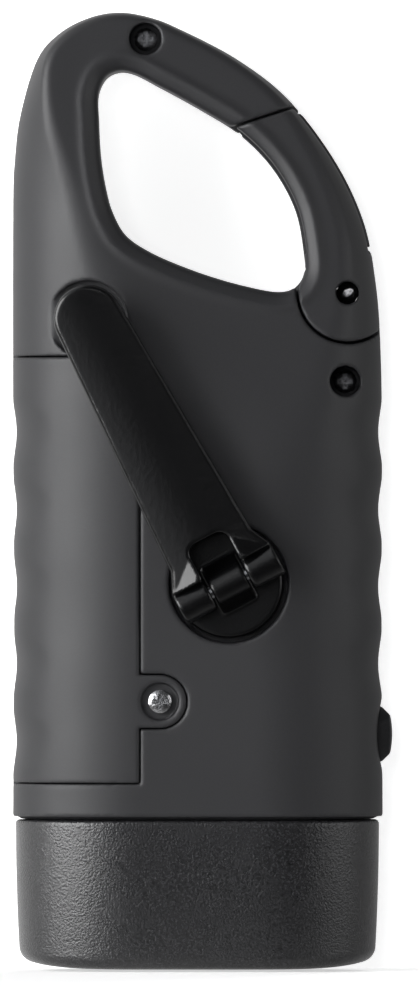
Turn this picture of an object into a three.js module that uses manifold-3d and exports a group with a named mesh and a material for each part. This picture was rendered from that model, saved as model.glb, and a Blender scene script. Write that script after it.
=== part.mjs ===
// Hand crank flashlight with a carabiner top, in millimetres, +Z up.
// It stands on its lamp head. The crank side faces -Y, and the shells part at y = 0 before the final shift.

import * as THREE from 'three';
import { mergeVertices } from 'three/addons/utils/BufferGeometryUtils.js';
import Module from 'manifold-3d';

const wasm = await Module();
wasm.setup();

// Body
const bodyHeight = 119.4;
const bodyHalfWidth = 23.05;
const bodyHalfDepth = 14;
const sectionPower = 2.3;
const sectionFlatShare = 0.3;
const shellWall = 2;
const partingGap = 0.3;
const fit = 0.3;
const overrun = 5;
const fullTurn = 2 * Math.PI;
const bodyPointCount = 30;
const innerPointCount = 22;

// Silhouette above the head: [share of the half width, share of the height]
const leftEdgeShares = [
  [-1, 0.156], [-1, 0.5], [-1, 0.78], [-0.99, 0.846], [-0.957, 0.895],
  [-0.868, 0.951], [-0.701, 0.984], [-0.455, 1],
];
const rightEdgeShares = [
  [1, 0.156], [1, 0.5], [0.992, 0.645], [0.961, 0.72], [0.896, 0.783], [0.742, 0.846],
  [0.494, 0.909], [0.216, 0.951], [-0.11, 0.984], [-0.372, 1],
];
const crownStartShare = 0.938;
const crownDropShare = 0.5;
const loftShares = [0.157, 0.5, 0.68, 0.76, 0.82, 0.866, 0.904, 0.936, 0.962, 0.981, 0.994, 1];

// Carabiner facets: flat planes that thin the body towards the top and the right
const facetStartShare = 0.6214;
const facetRise = 0.16;
const facetLean = 0.125;

// Rounded rim of the carabiner opening: shares of its radius, outwards and down from the face
const eyeEdgeRound = 1.6;
const eyeEdgeShares = [[1.3, -0.3], [0.62, 0.08], [0.3, 0.3], [0, 1]];
const eyePointCount = 32;

// Carabiner opening: [share of the half width, share of the height]
const eyeShares = [
  [-0.534, 0.915], [-0.49, 0.932], [-0.42, 0.938], [-0.347, 0.936], [-0.204, 0.922], [0.013, 0.899],
  [0.221, 0.874], [0.364, 0.848], [0.464, 0.821], [0.538, 0.79], [0.573, 0.756], [0.582, 0.731],
  [0.56, 0.719], [0.512, 0.71], [0.442, 0.707], [0.247, 0.7136], [-0.024, 0.7295], [-0.273, 0.7504],
  [-0.391, 0.767], [-0.46, 0.7915], [-0.49, 0.8116], [-0.521, 0.846], [-0.534, 0.888],
];

// Gate: its pivot and the two ends of the cut at its nose, as [share of the half width, share of the height]
const gatePivotShares = [0.8113, 0.706];
const gateCutInnerShares = [0.2386, 0.8769];
const gateCutOuterShares = [0.5401, 0.8961];
const gateDiscRadius = 6.06;
const gateDiscFit = 0.5;
const gateCutGap = 0.5;
const gatePinRadius = 1.1;
const gatePinRecessRadius = 1.35;
const gatePinRecess = 0.7;
const gateSpringWire = 0.25;
const gateSpringRadius = 2.1;
const gateSpringTurns = 3;
const gateSpringPitch = 0.75;

// Lamp head
const headSeam = 18.6;
const headInset = 0.35;
const headBottomInset = 0.6;
const headWall = 1.8;
const headRound = 2.6;
const neckBottom = 13.3;
const neckWall = 1.4;
const windowSideMargin = 4.85;
const windowFaceMargin = 6.4;
const windowCorner = 5;
const windowLip = 1.6;
const lensRecess = 0.7;
const lensPlate = 1.6;
const lensFlange = 1.5;
const reflectorTop = 11.2;
const cupFaceWall = 2.2;
const cupEndWall = 0.8;
const cupThroat = 2.9;
const cupShares = [0, 0.55, 1];
const lampCount = 3;
const ledRadius = 2.2;
const ledFlange = 2.5;
const ledFlangeHeight = 1;
const ledLength = 5.2;
const ledDomeShares = [[1, 0], [0.87, 0.5], [0.5, 0.87], [0, 1]];
const ledBoardThickness = 1.2;

// Crank hub and its shaft
const hubAcrossShare = 0.1692;
const hubZ = 48.1;
const hubHoleRadius = 7.44;
const hubDiscRadius = 6.75;
const hubRecess = 0.3;
const hubDiscThickness = 3;
const hubChamfer = 0.5;
const hubCupWall = 1.5;
const hubShaftRadius = 2.5;
const bushWall = 1.2;
const bushLength = 3;
const lugWidth = 4.6;
const lugHalfLength = 3.25;
const hingeHeight = 3.2;
const hingeBarrelRadius = 1.9;
const hingePinRadius = 0.8;
const stowAngle = THREE.MathUtils.degToRad(28);

// Crank arm, knob and the recess for its tip
const crankRadius = 37.2;
const armTipRadius = 4.27;
const armKnuckleHalfWidth = 6.9;
const armRootHalfWidth = 5.7;
const armRootLength = 4.5;
const armRampLength = 3.4;
const armRampFoot = THREE.MathUtils.degToRad(115);
const armTop = 2.8;
const armPlate = 1.6;
const armSkirt = 1.3;
const armSlotLength = 6.3;
const armSkirtDrop = 2.2;
const armSkirtStart = 4.25;
const armSkirtEnd = 31;
const knobRadius = 3.7;
const knobPostRadius = 1.35;
const knobScrewHead = 2.2;
const knobScrewShank = 0.55;
const knobScrewHeadThickness = 0.7;
const tipRecessRadius = 4.86;
const tipRecessDepth = 3.1;

// Gear train
const driveModule = 0.6;
const driveTeeth = 36;
const pinionTeeth = 10;
const fineModule = 0.5;
const fineTeeth = 32;
const pressureAngle = THREE.MathUtils.degToRad(25);
const addendumShare = 0.8;
const dedendumShare = 1.1;
const backlash = 0.14;
const gearThickness = 2;
const gearHoleCount = 5;
const gearHoleRadius = 2.2;
const layerGap = 0.6;
const idlerSideRoom = 15.5;
const bossHeight = 3.4;
const gearPlateThickness = 1.2;
const axleRadius = 1;
const rotorShaftRadius = 0.7;
const magnetRadius = 4.1;
const coilInner = 4.5;
const coilOuter = 6.2;
const canRadius = 7.1;
const canWall = 0.6;
const canFrontRoom = 2.5;
const canSideRoom = 0.6;
const generatorAsideShare = 0.5;
const canHeadroom = 2.4;
const pillarRadius = 2.3;
const pillarClearance = 0.6;
const lowPillarBearing = THREE.MathUtils.degToRad(-44);
const plateNeck = 2;
const plateScrew = { headRadius: 1.6, headThickness: 1, shankRadius: 0.8, length: 5.5 };

// Battery, its tray and the door
const cellRadius = 5.25;
const cellLength = 43.7;
const cellNubRadius = 1.8;
const cellNub = 0.8;
const cellSideRoom = 1.6;
const cellDepthShare = -0.2571;
const cellBottom = 27.4;
const trayWall = 1;
const contactThickness = 0.5;
const contactWidth = 7.2;
const springWire = 0.3;
const springTurns = 3;
const springRoom = 3;
const springShares = [0.7, 0.4];
const doorEdgeShare = -0.3124;
const doorBottom = 23.25;
const doorTop = 76.3;
const doorGap = 0.3;
const doorLip = 1.4;
const earReach = 2.54;
const earZ = 33.4;
const earRadius = 3.3;
const earDepth = 1.7;
const earBossDepth = 6;

// Screws
const doorScrew = { headRadius: 1.5, headThickness: 0.9, shankRadius: 0.8, length: 4.2 };
const shellScrew = { headRadius: 1.45, headThickness: 0.9, shankRadius: 0.8, length: 8.5 };
const doorSeatRadius = 2.33;
const doorSeatDepth = 0.9;
const topWellShares = [-0.282, 0.9715];
const sideWellShares = [0.7983, 0.6139];
const topWellRadius = 2;
const sideWellRadius = 1.9;
const wellFloor = 3.6;
const wellBossWall = 1.5;

// Power button, switch and circuit board
const buttonZ = 29.3;
const buttonLength = 6.9;
const buttonWidth = 5;
const buttonProud = 1.3;
const buttonFlange = 0.7;
const buttonFlangeMargin = 0.8;
const buttonStem = 1.1;
const buttonTravel = 0.8;
const buttonDishRadius = 11;
const switchSize = 6;
const switchDepth = 3.6;
const plungerRadius = 1.2;
const plungerLength = 1;
const boardY = 3.4;
const boardThickness = 1.2;
const boardLeft = -6.5;
const boardSideRoom = 5.65;
const boardBottom = 21;
const boardTop = 33;
const boardPegRadius = 0.8;
const boardPegShares = [0.18, 0.72];
const capacitorShare = 0.42;
const capacitorRadius = 2.4;
const capacitorLength = 7;

// Finger grooves
const gripTop = 67;
const gripPitch = 9.65;
const gripLeftCount = 5;
const gripRightCount = 4;
const gripDepth = 0.42;
const gripTube = 8.6;
const gripArc = THREE.MathUtils.degToRad(24);
const gripArcShares = [-1, -0.4, 0.4, 1];
const gripWrapRadius = 17.15;

// Places that follow from the sizes above
const far = bodyHalfDepth + overrun;
const innerBack = bodyHalfDepth - shellWall;
const seamTop = headSeam + fit;
const facetStart = facetStartShare * bodyHeight;
const [gatePivotX, gatePivotZ] = onBody(gatePivotShares);
const [gateCutInnerX, gateCutInnerZ] = onBody(gateCutInnerShares);
const [gateCutOuterX, gateCutOuterZ] = onBody(gateCutOuterShares);
const [topWellX, topWellZ] = onBody(topWellShares);
const [sideWellX, sideWellZ] = onBody(sideWellShares);
const hubX = hubAcrossShare * bodyHalfWidth;
const tipX = hubX - Math.sin(stowAngle) * crankRadius;
const tipZ = hubZ + Math.cos(stowAngle) * crankRadius;
const tipRecessFloor = tipRecessDepth - bodyHalfDepth;
const hubFace = hubRecess - bodyHalfDepth;
const hubBack = hubFace + hubDiscThickness;
const hubCupFloor = hubBack + fit;
const hingeY = -bodyHalfDepth - hingeHeight;
const knobBottom = hingeY + armTop;
const buttonInnerX = bodyHalfWidth / 2;
const doorEdgeX = doorEdgeShare * bodyHalfWidth;
const earX = doorEdgeX + earReach;
const doorScrewFace = doorSeatDepth - fit / 2 - doorScrew.headThickness - bodyHalfDepth;
const doorScrewEnd = doorScrewFace + doorScrew.length;

// Window and lamps
const windowHalfWidth = bodyHalfWidth - windowSideMargin;
const windowHalfDepth = bodyHalfDepth - windowFaceMargin;
const cupRadius = windowHalfDepth - cupFaceWall;
const lampPitch = windowHalfWidth - cupRadius - cupEndWall;
const lampXs = Array.from({ length: lampCount }, (_, i) => (i - (lampCount - 1) / 2) * lampPitch);
const lensBack = windowLip + fit + lensPlate;
const ledBoardBottom = reflectorTop + fit * 1.5;

// Cell and tray
const cellX = cellRadius + cellSideRoom + shellWall - bodyHalfWidth;
const cellY = cellDepthShare * bodyHalfDepth;
const trayReach = cellRadius + fit;
const trayRight = cellX + trayReach + trayWall;
const trayBottom = cellBottom - trayWall - springRoom;
const trayTop = cellBottom + cellLength + cellNub + contactThickness + fit * 2 + trayWall;

// Layers of the gear train, counted forwards from the back wall
const bossFace = innerBack - bossHeight;
const fineLayer = bossFace - layerGap - gearThickness;
const driveLayer = fineLayer - layerGap - gearThickness;
const gearPlateBack = driveLayer - layerGap;
const gearPlateFront = gearPlateBack - gearPlateThickness;
const shaftEnd = bossFace + hubShaftRadius;
const canFront = canFrontRoom - innerBack;

// Shafts of the gear train: the idler keeps off the side wall, and the generator can off the tray
const driveRadius = driveModule * driveTeeth / 2;
const drivePinionRadius = driveModule * pinionTeeth / 2;
const fineRadius = fineModule * fineTeeth / 2;
const finePinionRadius = fineModule * pinionTeeth / 2;
const idlerX = bodyHalfWidth - idlerSideRoom;
const idlerBearing = Math.acos((idlerX - hubX) / (driveRadius + drivePinionRadius));
const idlerZ = hubZ + Math.sin(idlerBearing) * (driveRadius + drivePinionRadius);
const rotorX = Math.max(
  idlerX - (fineRadius + finePinionRadius) * generatorAsideShare,
  trayRight + canRadius + canSideRoom,
);
const rotorBearing = Math.acos((rotorX - idlerX) / (fineRadius + finePinionRadius));
const rotorZ = idlerZ + Math.sin(rotorBearing) * (fineRadius + finePinionRadius);
const cavityTop = rotorZ + canRadius + canHeadroom;

// Pillars of the gear plate, each as near to two of the shafts as their wheels allow
const drivePillarReach = driveRadius + driveModule * addendumShare + pillarRadius + pillarClearance;
const finePillarReach = fineRadius + fineModule * addendumShare + pillarRadius + pillarClearance;
const canPillarReach = canRadius + plateScrew.headRadius + fit;
const platePillars = [
  [
    hubX + Math.cos(lowPillarBearing) * drivePillarReach,
    hubZ + Math.sin(lowPillarBearing) * drivePillarReach,
  ],
  meeting([hubX, hubZ], drivePillarReach, [idlerX, idlerZ], finePillarReach),
  meeting([rotorX, rotorZ], canPillarReach, [idlerX, idlerZ], finePillarReach),
];

const charcoal = { color: 0x3b3c3e, roughness: 0.75, metalness: 0 };
const glossBlack = { color: 0x1a1b1d, roughness: 0.28, metalness: 0 };
const steel = { color: 0xb9bbbe, roughness: 0.35, metalness: 1 };
const clearPlastic = { color: 0xdfe7ea, roughness: 0.1, metalness: 0 };
const whiteNylon = { color: 0xe6e3da, roughness: 0.55, metalness: 0 };
const boardGreen = { color: 0x2f6b46, roughness: 0.6, metalness: 0 };
const copper = { color: 0xb0683a, roughness: 0.4, metalness: 1 };
const brass = { color: 0xc9a552, roughness: 0.35, metalness: 1 };
const darkSteel = { color: 0x55585c, roughness: 0.45, metalness: 1 };
const bareBlack = { color: 0x242527, roughness: 0.6, metalness: 0 };
const chrome = { color: 0xd9dcdf, roughness: 0.12, metalness: 1 };
const cellSleeve = { color: 0x3f7d5a, roughness: 0.45, metalness: 0 };

function onBody([across, up]) {
  return [across * bodyHalfWidth, up * bodyHeight];
}

// Point at one distance from each of two centres, to the right of the way from the first to the second
// when that way goes up, and to the left when it goes down
function meeting([ax, az], fromA, [bx, bz], fromB) {
  const way = new THREE.Vector2(bx - ax, bz - az);
  const apart = way.length();
  const along = (fromA ** 2 - fromB ** 2 + apart ** 2) / (apart * 2);
  const aside = Math.sqrt(fromA ** 2 - along ** 2);
  way.divideScalar(apart);
  return [ax + way.x * along + way.y * aside, az + way.y * along - way.x * aside];
}

// Turns a closed three.js geometry into a solid
function solid(geometry) {
  const bare = new THREE.BufferGeometry();
  bare.setAttribute('position', geometry.attributes.position);
  if (geometry.index) bare.setIndex(geometry.index);
  const merged = mergeVertices(bare);
  const points = merged.attributes.position.array;
  const corners = [];
  let volume = 0;
  for (let i = 0; i < merged.index.count; i += 3) {
    const [a, b, c] = [0, 1, 2].map((k) => merged.index.array[i + k]);
    if (a === b || b === c || a === c) continue;
    corners.push(a, b, c);
    const [p, q, r] = [a, b, c].map((k) => new THREE.Vector3().fromArray(points, 3 * k));
    volume += p.dot(q.cross(r));
  }
  if (volume < 0) corners.reverse();
  return new wasm.Manifold(new wasm.Mesh({
    numProp: 3,
    vertProperties: new Float32Array(points),
    triVerts: new Uint32Array(corners),
  }));
}

function toGeometry(body) {
  const mesh = body.getMesh();
  const geometry = new THREE.BufferGeometry();
  geometry.setAttribute('position', new THREE.BufferAttribute(mesh.vertProperties, 3));
  geometry.setIndex(new THREE.BufferAttribute(mesh.triVerts, 1));
  geometry.computeVertexNormals();
  return geometry;
}

function joinAll(bodies) {
  return bodies.reduce((sum, body) => sum.add(body));
}

// Skin over a stack of rings that share one point count, closed at both ends
function loft(rings, flatten) {
  const count = rings[0].length;
  const positions = rings.flat().flatMap((point) => [point.x, point.y, point.z]);
  const index = [];
  for (let level = 0; level < rings.length - 1; level += 1) {
    for (let i = 0; i < count; i += 1) {
      const next = (i + 1) % count;
      const [a, b] = [level * count + i, level * count + next];
      index.push(a, b, b + count, a, b + count, a + count);
    }
  }
  const last = (rings.length - 1) * count;
  const clockwise = THREE.ShapeUtils.isClockWise(rings[0].map(flatten));
  for (const [a, b, c] of THREE.ShapeUtils.triangulateShape(rings[0].map(flatten), [])) {
    index.push(...(clockwise ? [a, b, c] : [c, b, a]));
  }
  for (const [a, b, c] of THREE.ShapeUtils.triangulateShape(rings.at(-1).map(flatten), [])) {
    index.push(...(clockwise ? [last + c, last + b, last + a] : [last + a, last + b, last + c]));
  }
  const geometry = new THREE.BufferGeometry();
  geometry.setAttribute('position', new THREE.Float32BufferAttribute(positions, 3));
  geometry.setIndex(index);
  return solid(geometry);
}

const alongZ = (point) => new THREE.Vector2(point.x, point.y);
const alongY = (point) => new THREE.Vector2(point.x, point.z);

// Extrudes a shape drawn in x and z from one y to another
function extrudeY(shape, yFrom, yTo, curveSegments = 6) {
  const depth = yTo - yFrom;
  const geometry = new THREE.ExtrudeGeometry(shape, { depth, bevelEnabled: false, curveSegments });
  geometry.rotateX(Math.PI / 2).translate(0, yTo, 0);
  return solid(geometry);
}

// Extrudes a shape drawn in x and y from one z to another
function extrudeZ(shape, zFrom, zTo, curveSegments = 3) {
  const depth = zTo - zFrom;
  const geometry = new THREE.ExtrudeGeometry(shape, { depth, bevelEnabled: false, curveSegments });
  geometry.translate(0, 0, zFrom);
  return solid(geometry);
}

// Extrudes a shape drawn in y and z from one x to another
function extrudeX(shape, xFrom, xTo, curveSegments = 4) {
  const depth = xTo - xFrom;
  const geometry = new THREE.ExtrudeGeometry(shape, { depth, bevelEnabled: false, curveSegments });
  geometry.rotateY(Math.PI / 2).rotateX(Math.PI / 2).translate(xFrom, 0, 0);
  return solid(geometry);
}

function polygon(points) {
  return new THREE.Shape(points.map(([a, b]) => new THREE.Vector2(a, b)));
}

function box(x0, x1, y0, y1, z0, z1) {
  const geometry = new THREE.BoxGeometry(x1 - x0, y1 - y0, z1 - z0);
  geometry.translate((x0 + x1) / 2, (y0 + y1) / 2, (z0 + z1) / 2);
  return solid(geometry);
}

// Turned piece about an axis along Y, from [radius, y] pairs
function turnedY(profile, x, z, segments = 20) {
  const geometry = new THREE.LatheGeometry(profile.map(([r, y]) => new THREE.Vector2(r, y)), segments);
  geometry.translate(x, 0, z);
  return solid(geometry);
}

// Turned piece about an axis along Z, from [radius, z] pairs
function turnedZ(profile, x, y, segments = 16) {
  const geometry = new THREE.LatheGeometry(profile.map(([r, z]) => new THREE.Vector2(r, z)), segments);
  geometry.rotateX(Math.PI / 2).translate(x, y, 0);
  return solid(geometry);
}

function rodY(radius, x, z, yFrom, yTo, segments = 16) {
  return turnedY([[0, yFrom], [radius, yFrom], [radius, yTo], [0, yTo]], x, z, segments);
}

function rodX(radius, xFrom, xTo, y, z, segments = 12) {
  const geometry = new THREE.CylinderGeometry(radius, radius, xTo - xFrom, segments);
  geometry.rotateZ(Math.PI / 2).translate((xFrom + xTo) / 2, y, z);
  return solid(geometry);
}

function ringY(outer, inner, x, z, yFrom, yTo, segments = 16) {
  const profile = [[inner, yFrom], [outer, yFrom], [outer, yTo], [inner, yTo], [inner, yFrom]];
  return turnedY(profile, x, z, segments);
}

// Point where a silhouette edge crosses a height
function edgeAt(edgePoints, z) {
  const upper = Math.max(1, edgePoints.findIndex((point) => point.y >= z));
  const [low, high] = [edgePoints[upper - 1], edgePoints[upper]];
  return THREE.MathUtils.mapLinear(z, low.y, high.y, low.x, high.x);
}

function edgeCurve(shares) {
  const points = shares.map(([across, up]) => new THREE.Vector2(across * bodyHalfWidth, up * bodyHeight));
  return new THREE.SplineCurve(points).getPoints(200);
}

const leftEdge = edgeCurve(leftEdgeShares);
const rightEdge = edgeCurve(rightEdgeShares);

// One level of the body: a flat front and back with superellipse flanks, drawn in by an inset.
// The point count is two more than a multiple of four, so that two points straddle and set each flat.
function sectionRing(left, right, halfDepth, z, inset, count) {
  const ring = [];
  const halfWidth = (right - left) / 2 - inset;
  const flat = halfWidth * sectionFlatShare;
  const depth = (halfDepth - inset) / Math.cos(Math.PI / count) ** (2 / sectionPower);
  for (let i = 0; i < count; i += 1) {
    const angle = (i / count) * fullTurn;
    const [c, s] = [Math.cos(angle), Math.sin(angle)];
    const x = Math.sign(c) * (flat + Math.abs(c) ** (2 / sectionPower) * (halfWidth - flat));
    const y = Math.sign(s) * Math.abs(s) ** (2 / sectionPower) * depth;
    ring.push(new THREE.Vector3((left + right) / 2 + x, y, z));
  }
  return ring;
}

function halfDepthAt(z) {
  const crown = bodyHeight * crownStartShare;
  const climb = Math.max(0, (z - crown) / (bodyHeight - crown));
  return bodyHalfDepth * (1 - crownDropShare * climb ** 3);
}

function bodyRing(z, inset, count) {
  return sectionRing(edgeAt(leftEdge, z), edgeAt(rightEdge, z), halfDepthAt(z), z, inset, count);
}

function facetDepth(x, z, inset) {
  return bodyHalfDepth - facetRise * (z - facetStart) - facetLean * x - inset;
}

// What the two facet planes cut away, front and back
function facetCutters(inset) {
  const far = bodyHalfDepth * 2;
  const [x, z0, z1] = [bodyHalfWidth + overrun, facetStart / 2, bodyHeight + overrun];
  const corners = [[-x, z0], [x, z0], [x, z1], [-x, z1]];
  const cutter = (side) => loft([
    corners.map(([cx, cz]) => new THREE.Vector3(cx, side * facetDepth(cx, cz, inset), cz)),
    corners.map(([cx, cz]) => new THREE.Vector3(cx, side * far, cz)),
  ], alongY);
  return cutter(-1).add(cutter(1));
}

// Carabiner opening, with the rounding of its two edges
function eyeCutter() {
  const points = eyeShares.map(onBody).map(([x, z]) => new THREE.Vector3(x, 0, z));
  const curve = new THREE.CatmullRomCurve3(points, true, 'centripetal');
  const rims = curve.getSpacedPoints(eyePointCount).slice(0, eyePointCount);
  const outward = rims.map((point, i) => {
    const tangent = rims[(i + 1) % eyePointCount].clone().sub(rims.at(i - 1)).normalize();
    return new THREE.Vector3(-tangent.z, 0, tangent.x);
  });
  const ring = (side, spread, sink) => rims.map((point, i) => {
    const moved = point.clone().addScaledVector(outward[i], spread);
    moved.y = side * (facetDepth(moved.x, moved.z, sink));
    return moved;
  });
  const levels = eyeEdgeShares.map(([spread, sink]) => [spread * eyeEdgeRound, sink * eyeEdgeRound]);
  return loft([
    ...levels.map(([spread, sink]) => ring(-1, spread, sink)),
    ...levels.reverse().map(([spread, sink]) => ring(1, spread, sink)),
  ], alongY);
}

// Shallow finger grooves down both sides, each part of a ring that wraps the body
function gripCutters() {
  const arc = gripArcShares.map((share) => share * gripArc);
  const outer = gripWrapRadius + gripTube;
  const profile = arc.map((angle) => [outer - Math.cos(angle) * gripTube, Math.sin(angle) * gripTube]);
  const [bottom, top] = [profile[0][1], profile.at(-1)[1]];
  const closed = [...profile, [outer, top], [outer, bottom], profile[0]];
  const sides = [[-1, gripLeftCount], [1, gripRightCount]];
  return joinAll(sides.flatMap(([side, count]) => Array.from({ length: count }, (_, k) => {
    const z = gripTop - k * gripPitch;
    const ringX = side * (bodyHalfWidth - gripDepth - gripWrapRadius);
    const ring = turnedZ(closed, ringX, 0, 20).translate([0, 0, z]);
    const [x0, x1] = [side * bodyHalfWidth / 2, side * bodyHalfWidth * 3].sort((a, b) => a - b);
    return ring.intersect(box(x0, x1, -far * 2, far * 2, z + bottom, z + top));
  })));
}

function discShape(x, z, radius) {
  const shape = new THREE.Shape();
  shape.absarc(x, z, radius, 0, fullTurn, false);
  return shape;
}

function discY(x, z, radius, yFrom = -far, yTo = far, segments = 14) {
  return extrudeY(discShape(x, z, radius), yFrom, yTo, segments);
}

// Region of the gate beyond its pivot disc, up to the slanted cut at the nose
function gateWedge(extra, yFrom, yTo) {
  const slope = (gateCutOuterZ - gateCutInnerZ) / (gateCutOuterX - gateCutInnerX);
  const innerX = gateCutInnerX - gateDiscRadius / 3;
  const outerX = gateCutOuterX + gateDiscRadius / 3;
  const innerZ = gateCutInnerZ + slope * (innerX - gateCutInnerX) + extra;
  const outerZ = gateCutOuterZ + slope * (outerX - gateCutOuterX) + extra;
  const right = bodyHalfWidth + overrun;
  const shape = polygon([
    [gatePivotX, gatePivotZ],
    [right, gatePivotZ + (right - gatePivotX) * 1.2],
    [right, outerZ],
    [outerX, outerZ],
    [innerX, innerZ],
    [innerX, innerZ - gateDiscRadius / 5],
    [gatePivotX - gateDiscRadius * 1.3, gatePivotZ + gateDiscRadius * 0.75],
  ]);
  return extrudeY(shape, yFrom, yTo);
}

// Door outline in x and z, without its ear, grown by a margin
function doorSlabShape(margin) {
  const left = -bodyHalfWidth - overrun;
  const edge = doorEdgeX + margin;
  const [bottom, top] = [doorBottom - margin, doorTop + margin];
  return polygon([[left, bottom], [edge, bottom], [edge, top], [left, top]]);
}

function outerBody() {
  const levels = loftShares.map((share) => share * bodyHeight);
  levels[0] = seamTop;
  return loft(levels.map((z) => bodyRing(z, 0, bodyPointCount)), alongZ)
    .subtract(facetCutters(0))
    .subtract(eyeCutter())
    .subtract(gripCutters());
}

// Everything inside the shells at one wall thickness
function innerBody(wall, bottom, top) {
  const levels = [bottom, ...loftShares.map((s) => s * bodyHeight).filter((z) => z > bottom && z < top), top];
  return loft(levels.map((z) => bodyRing(Math.max(z, seamTop), wall, innerPointCount)
    .map((point) => new THREE.Vector3(point.x, point.y, z))), alongZ)
    .subtract(facetCutters(wall))
    .subtract(discY(gatePivotX, gatePivotZ, gateDiscRadius + gateDiscFit + wall))
    .subtract(discY(tipX, tipZ, tipRecessRadius + wall, -far, 0));
}

// Straight prism of the body's section at the head seam, drawn in by an inset
function straightTube(inset, zFrom, zTo) {
  const section = bodyRing(seamTop, inset, innerPointCount);
  return loft([zFrom, zTo].map((z) => section.map((p) => new THREE.Vector3(p.x, p.y, z))), alongZ);
}

const neckOuterInset = headInset + headWall + fit;
const neckInset = neckOuterInset + neckWall;

const bodySolid = outerBody();
const cavity = innerBody(shellWall, seamTop + shellWall, cavityTop);
const neckHole = straightTube(neckInset, neckBottom - overrun, seamTop + shellWall + overrun);
const neck = straightTube(neckOuterInset, neckBottom, seamTop + shellWall);
const housing = bodySolid.add(neck);
const frontHalf = box(-far * 2, far * 2, -far * 2, -partingGap / 2, -far, bodyHeight * 2);
const backHalf = box(-far * 2, far * 2, partingGap / 2, far * 2, -far, bodyHeight * 2);

// Well, head seat and thread of one screw that holds the two shells together
function shellScrewHoles(x, z, wellRadius) {
  return joinAll([
    rodY(wellRadius, x, z, -far, -wellFloor),
    rodY(shellScrew.shankRadius + fit, x, z, -wellFloor - overrun, shellScrew.length - wellFloor + fit),
  ]);
}

function shellScrewBoss(x, z, wellRadius) {
  return rodY(wellRadius + wellBossWall, x, z, -far, far).intersect(bodySolid);
}

const shellScrewHoleSet = shellScrewHoles(topWellX, topWellZ, topWellRadius)
  .add(shellScrewHoles(sideWellX, sideWellZ, sideWellRadius));
const sideBoss = shellScrewBoss(sideWellX, sideWellZ, sideWellRadius);

// Slot with round ends across the shells' side, for the button
function buttonShape(margin) {
  const shape = new THREE.Shape();
  const r = buttonWidth / 2;
  const straight = buttonLength / 2 - r;
  shape.absarc(0, buttonZ + straight, r + margin, 0, Math.PI, false);
  shape.absarc(0, buttonZ - straight, r + margin, Math.PI, fullTurn, false);
  shape.closePath();
  return shape;
}

function buttonPrism(margin, xFrom, xTo) {
  return extrudeX(buttonShape(margin), xFrom, xTo);
}

// Shallow dish that the button sits in
function buttonDish() {
  const ball = new THREE.SphereGeometry(buttonDishRadius, 18, 12);
  ball.translate(bodyHalfWidth + buttonDishRadius - buttonProud / 2, 0, buttonZ);
  return solid(ball);
}

function hingePinHole() {
  const recessFloor = -facetDepth(gatePivotX, gatePivotZ, gatePinRecess);
  return discY(gatePivotX, gatePivotZ, gatePinRadius + fit, -far, far, 6)
    .add(discY(gatePivotX, gatePivotZ, gatePinRecessRadius, -far, recessFloor, 6));
}

const springPocketRadius = gateSpringRadius + gateSpringWire + fit * 2;
const springPocketDepth = gateSpringTurns * gateSpringPitch + gateSpringWire * 2 + fit * 2;

function frontShell() {
  const cupRadiusOut = hubHoleRadius + hubCupWall;
  const hubCup = ringY(cupRadiusOut, hubHoleRadius, hubX, hubZ, -bodyHalfDepth, hubCupFloor, 24);
  const hubFloor = ringY(cupRadiusOut, hubShaftRadius + bushWall + fit * 2, hubX, hubZ,
    hubCupFloor, hubCupFloor + hubCupWall, 24);
  const earBossFront = shellWall / 2 - bodyHalfDepth;
  const earBoss = extrudeY(earShape(wellBossWall), earBossFront, earBossDepth - bodyHalfDepth);
  const lipFront = -innerBack + doorGap * 2.5;
  const lip = box(doorEdgeX - doorLip, doorEdgeX + doorLip * 2, lipFront, lipFront + doorLip,
    doorBottom + doorLip, doorTop - doorLip);
  const lipRoot = box(doorEdgeX + doorGap, doorEdgeX + doorLip * 2, -innerBack - shellWall / 2,
    lipFront + doorLip, doorBottom - doorLip, doorTop + doorLip);
  const ribs = joinAll([hubCup, hubFloor, earBoss, lip, lipRoot, sideBoss]);
  return housing
    .subtract(cavity.subtract(ribs))
    .subtract(neckHole)
    .intersect(frontHalf)
    .subtract(extrudeY(doorSlabShape(doorGap), -far, far).subtract(lip))
    .subtract(extrudeY(earShape(doorGap), -far, -bodyHalfDepth + earDepth + doorGap))
    .subtract(rodY(doorScrew.shankRadius + fit, earX, earZ, -far, doorScrewEnd + fit, 12))
    .subtract(rodY(hubHoleRadius, hubX, hubZ, -far, hubCupFloor, 30))
    .subtract(rodY(tipRecessRadius, tipX, tipZ, -far, tipRecessFloor, 28))
    .subtract(discY(gatePivotX, gatePivotZ, gateDiscRadius + gateDiscFit))
    .subtract(gateWedge(gateCutGap, -far, far))
    .subtract(shellScrewHoleSet)
    .subtract(buttonPrism(fit, -far, far * 2).intersect(box(buttonInnerX, far * 2, -far, far, 0, bodyHeight)))
    .subtract(buttonDish());
}

function earShape(margin) {
  const shape = new THREE.Shape();
  const r = earRadius + margin;
  const left = doorEdgeX - margin - fit;
  shape.moveTo(left, earZ - r);
  shape.lineTo(earX, earZ - r);
  shape.absarc(earX, earZ, r, -Math.PI / 2, Math.PI / 2, false);
  shape.lineTo(left, earZ + r);
  shape.closePath();
  return shape;
}

// Post from the back wall, with a peg through the circuit board
function boardPost(share) {
  const [tip, shoulder] = [boardY - fit, boardY + boardThickness + fit];
  return rodY(boardPegRadius, boardAt(share), boardCentreZ, tip, far, 12)
    .add(rodY(boardPegRadius + wellBossWall, boardAt(share), boardCentreZ, shoulder, far, 12));
}

const boardRight = bodyHalfWidth - boardSideRoom;
const boardCentreZ = (boardBottom + boardTop) / 2;

function boardAt(share) {
  return THREE.MathUtils.lerp(boardLeft, boardRight, share);
}

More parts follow.
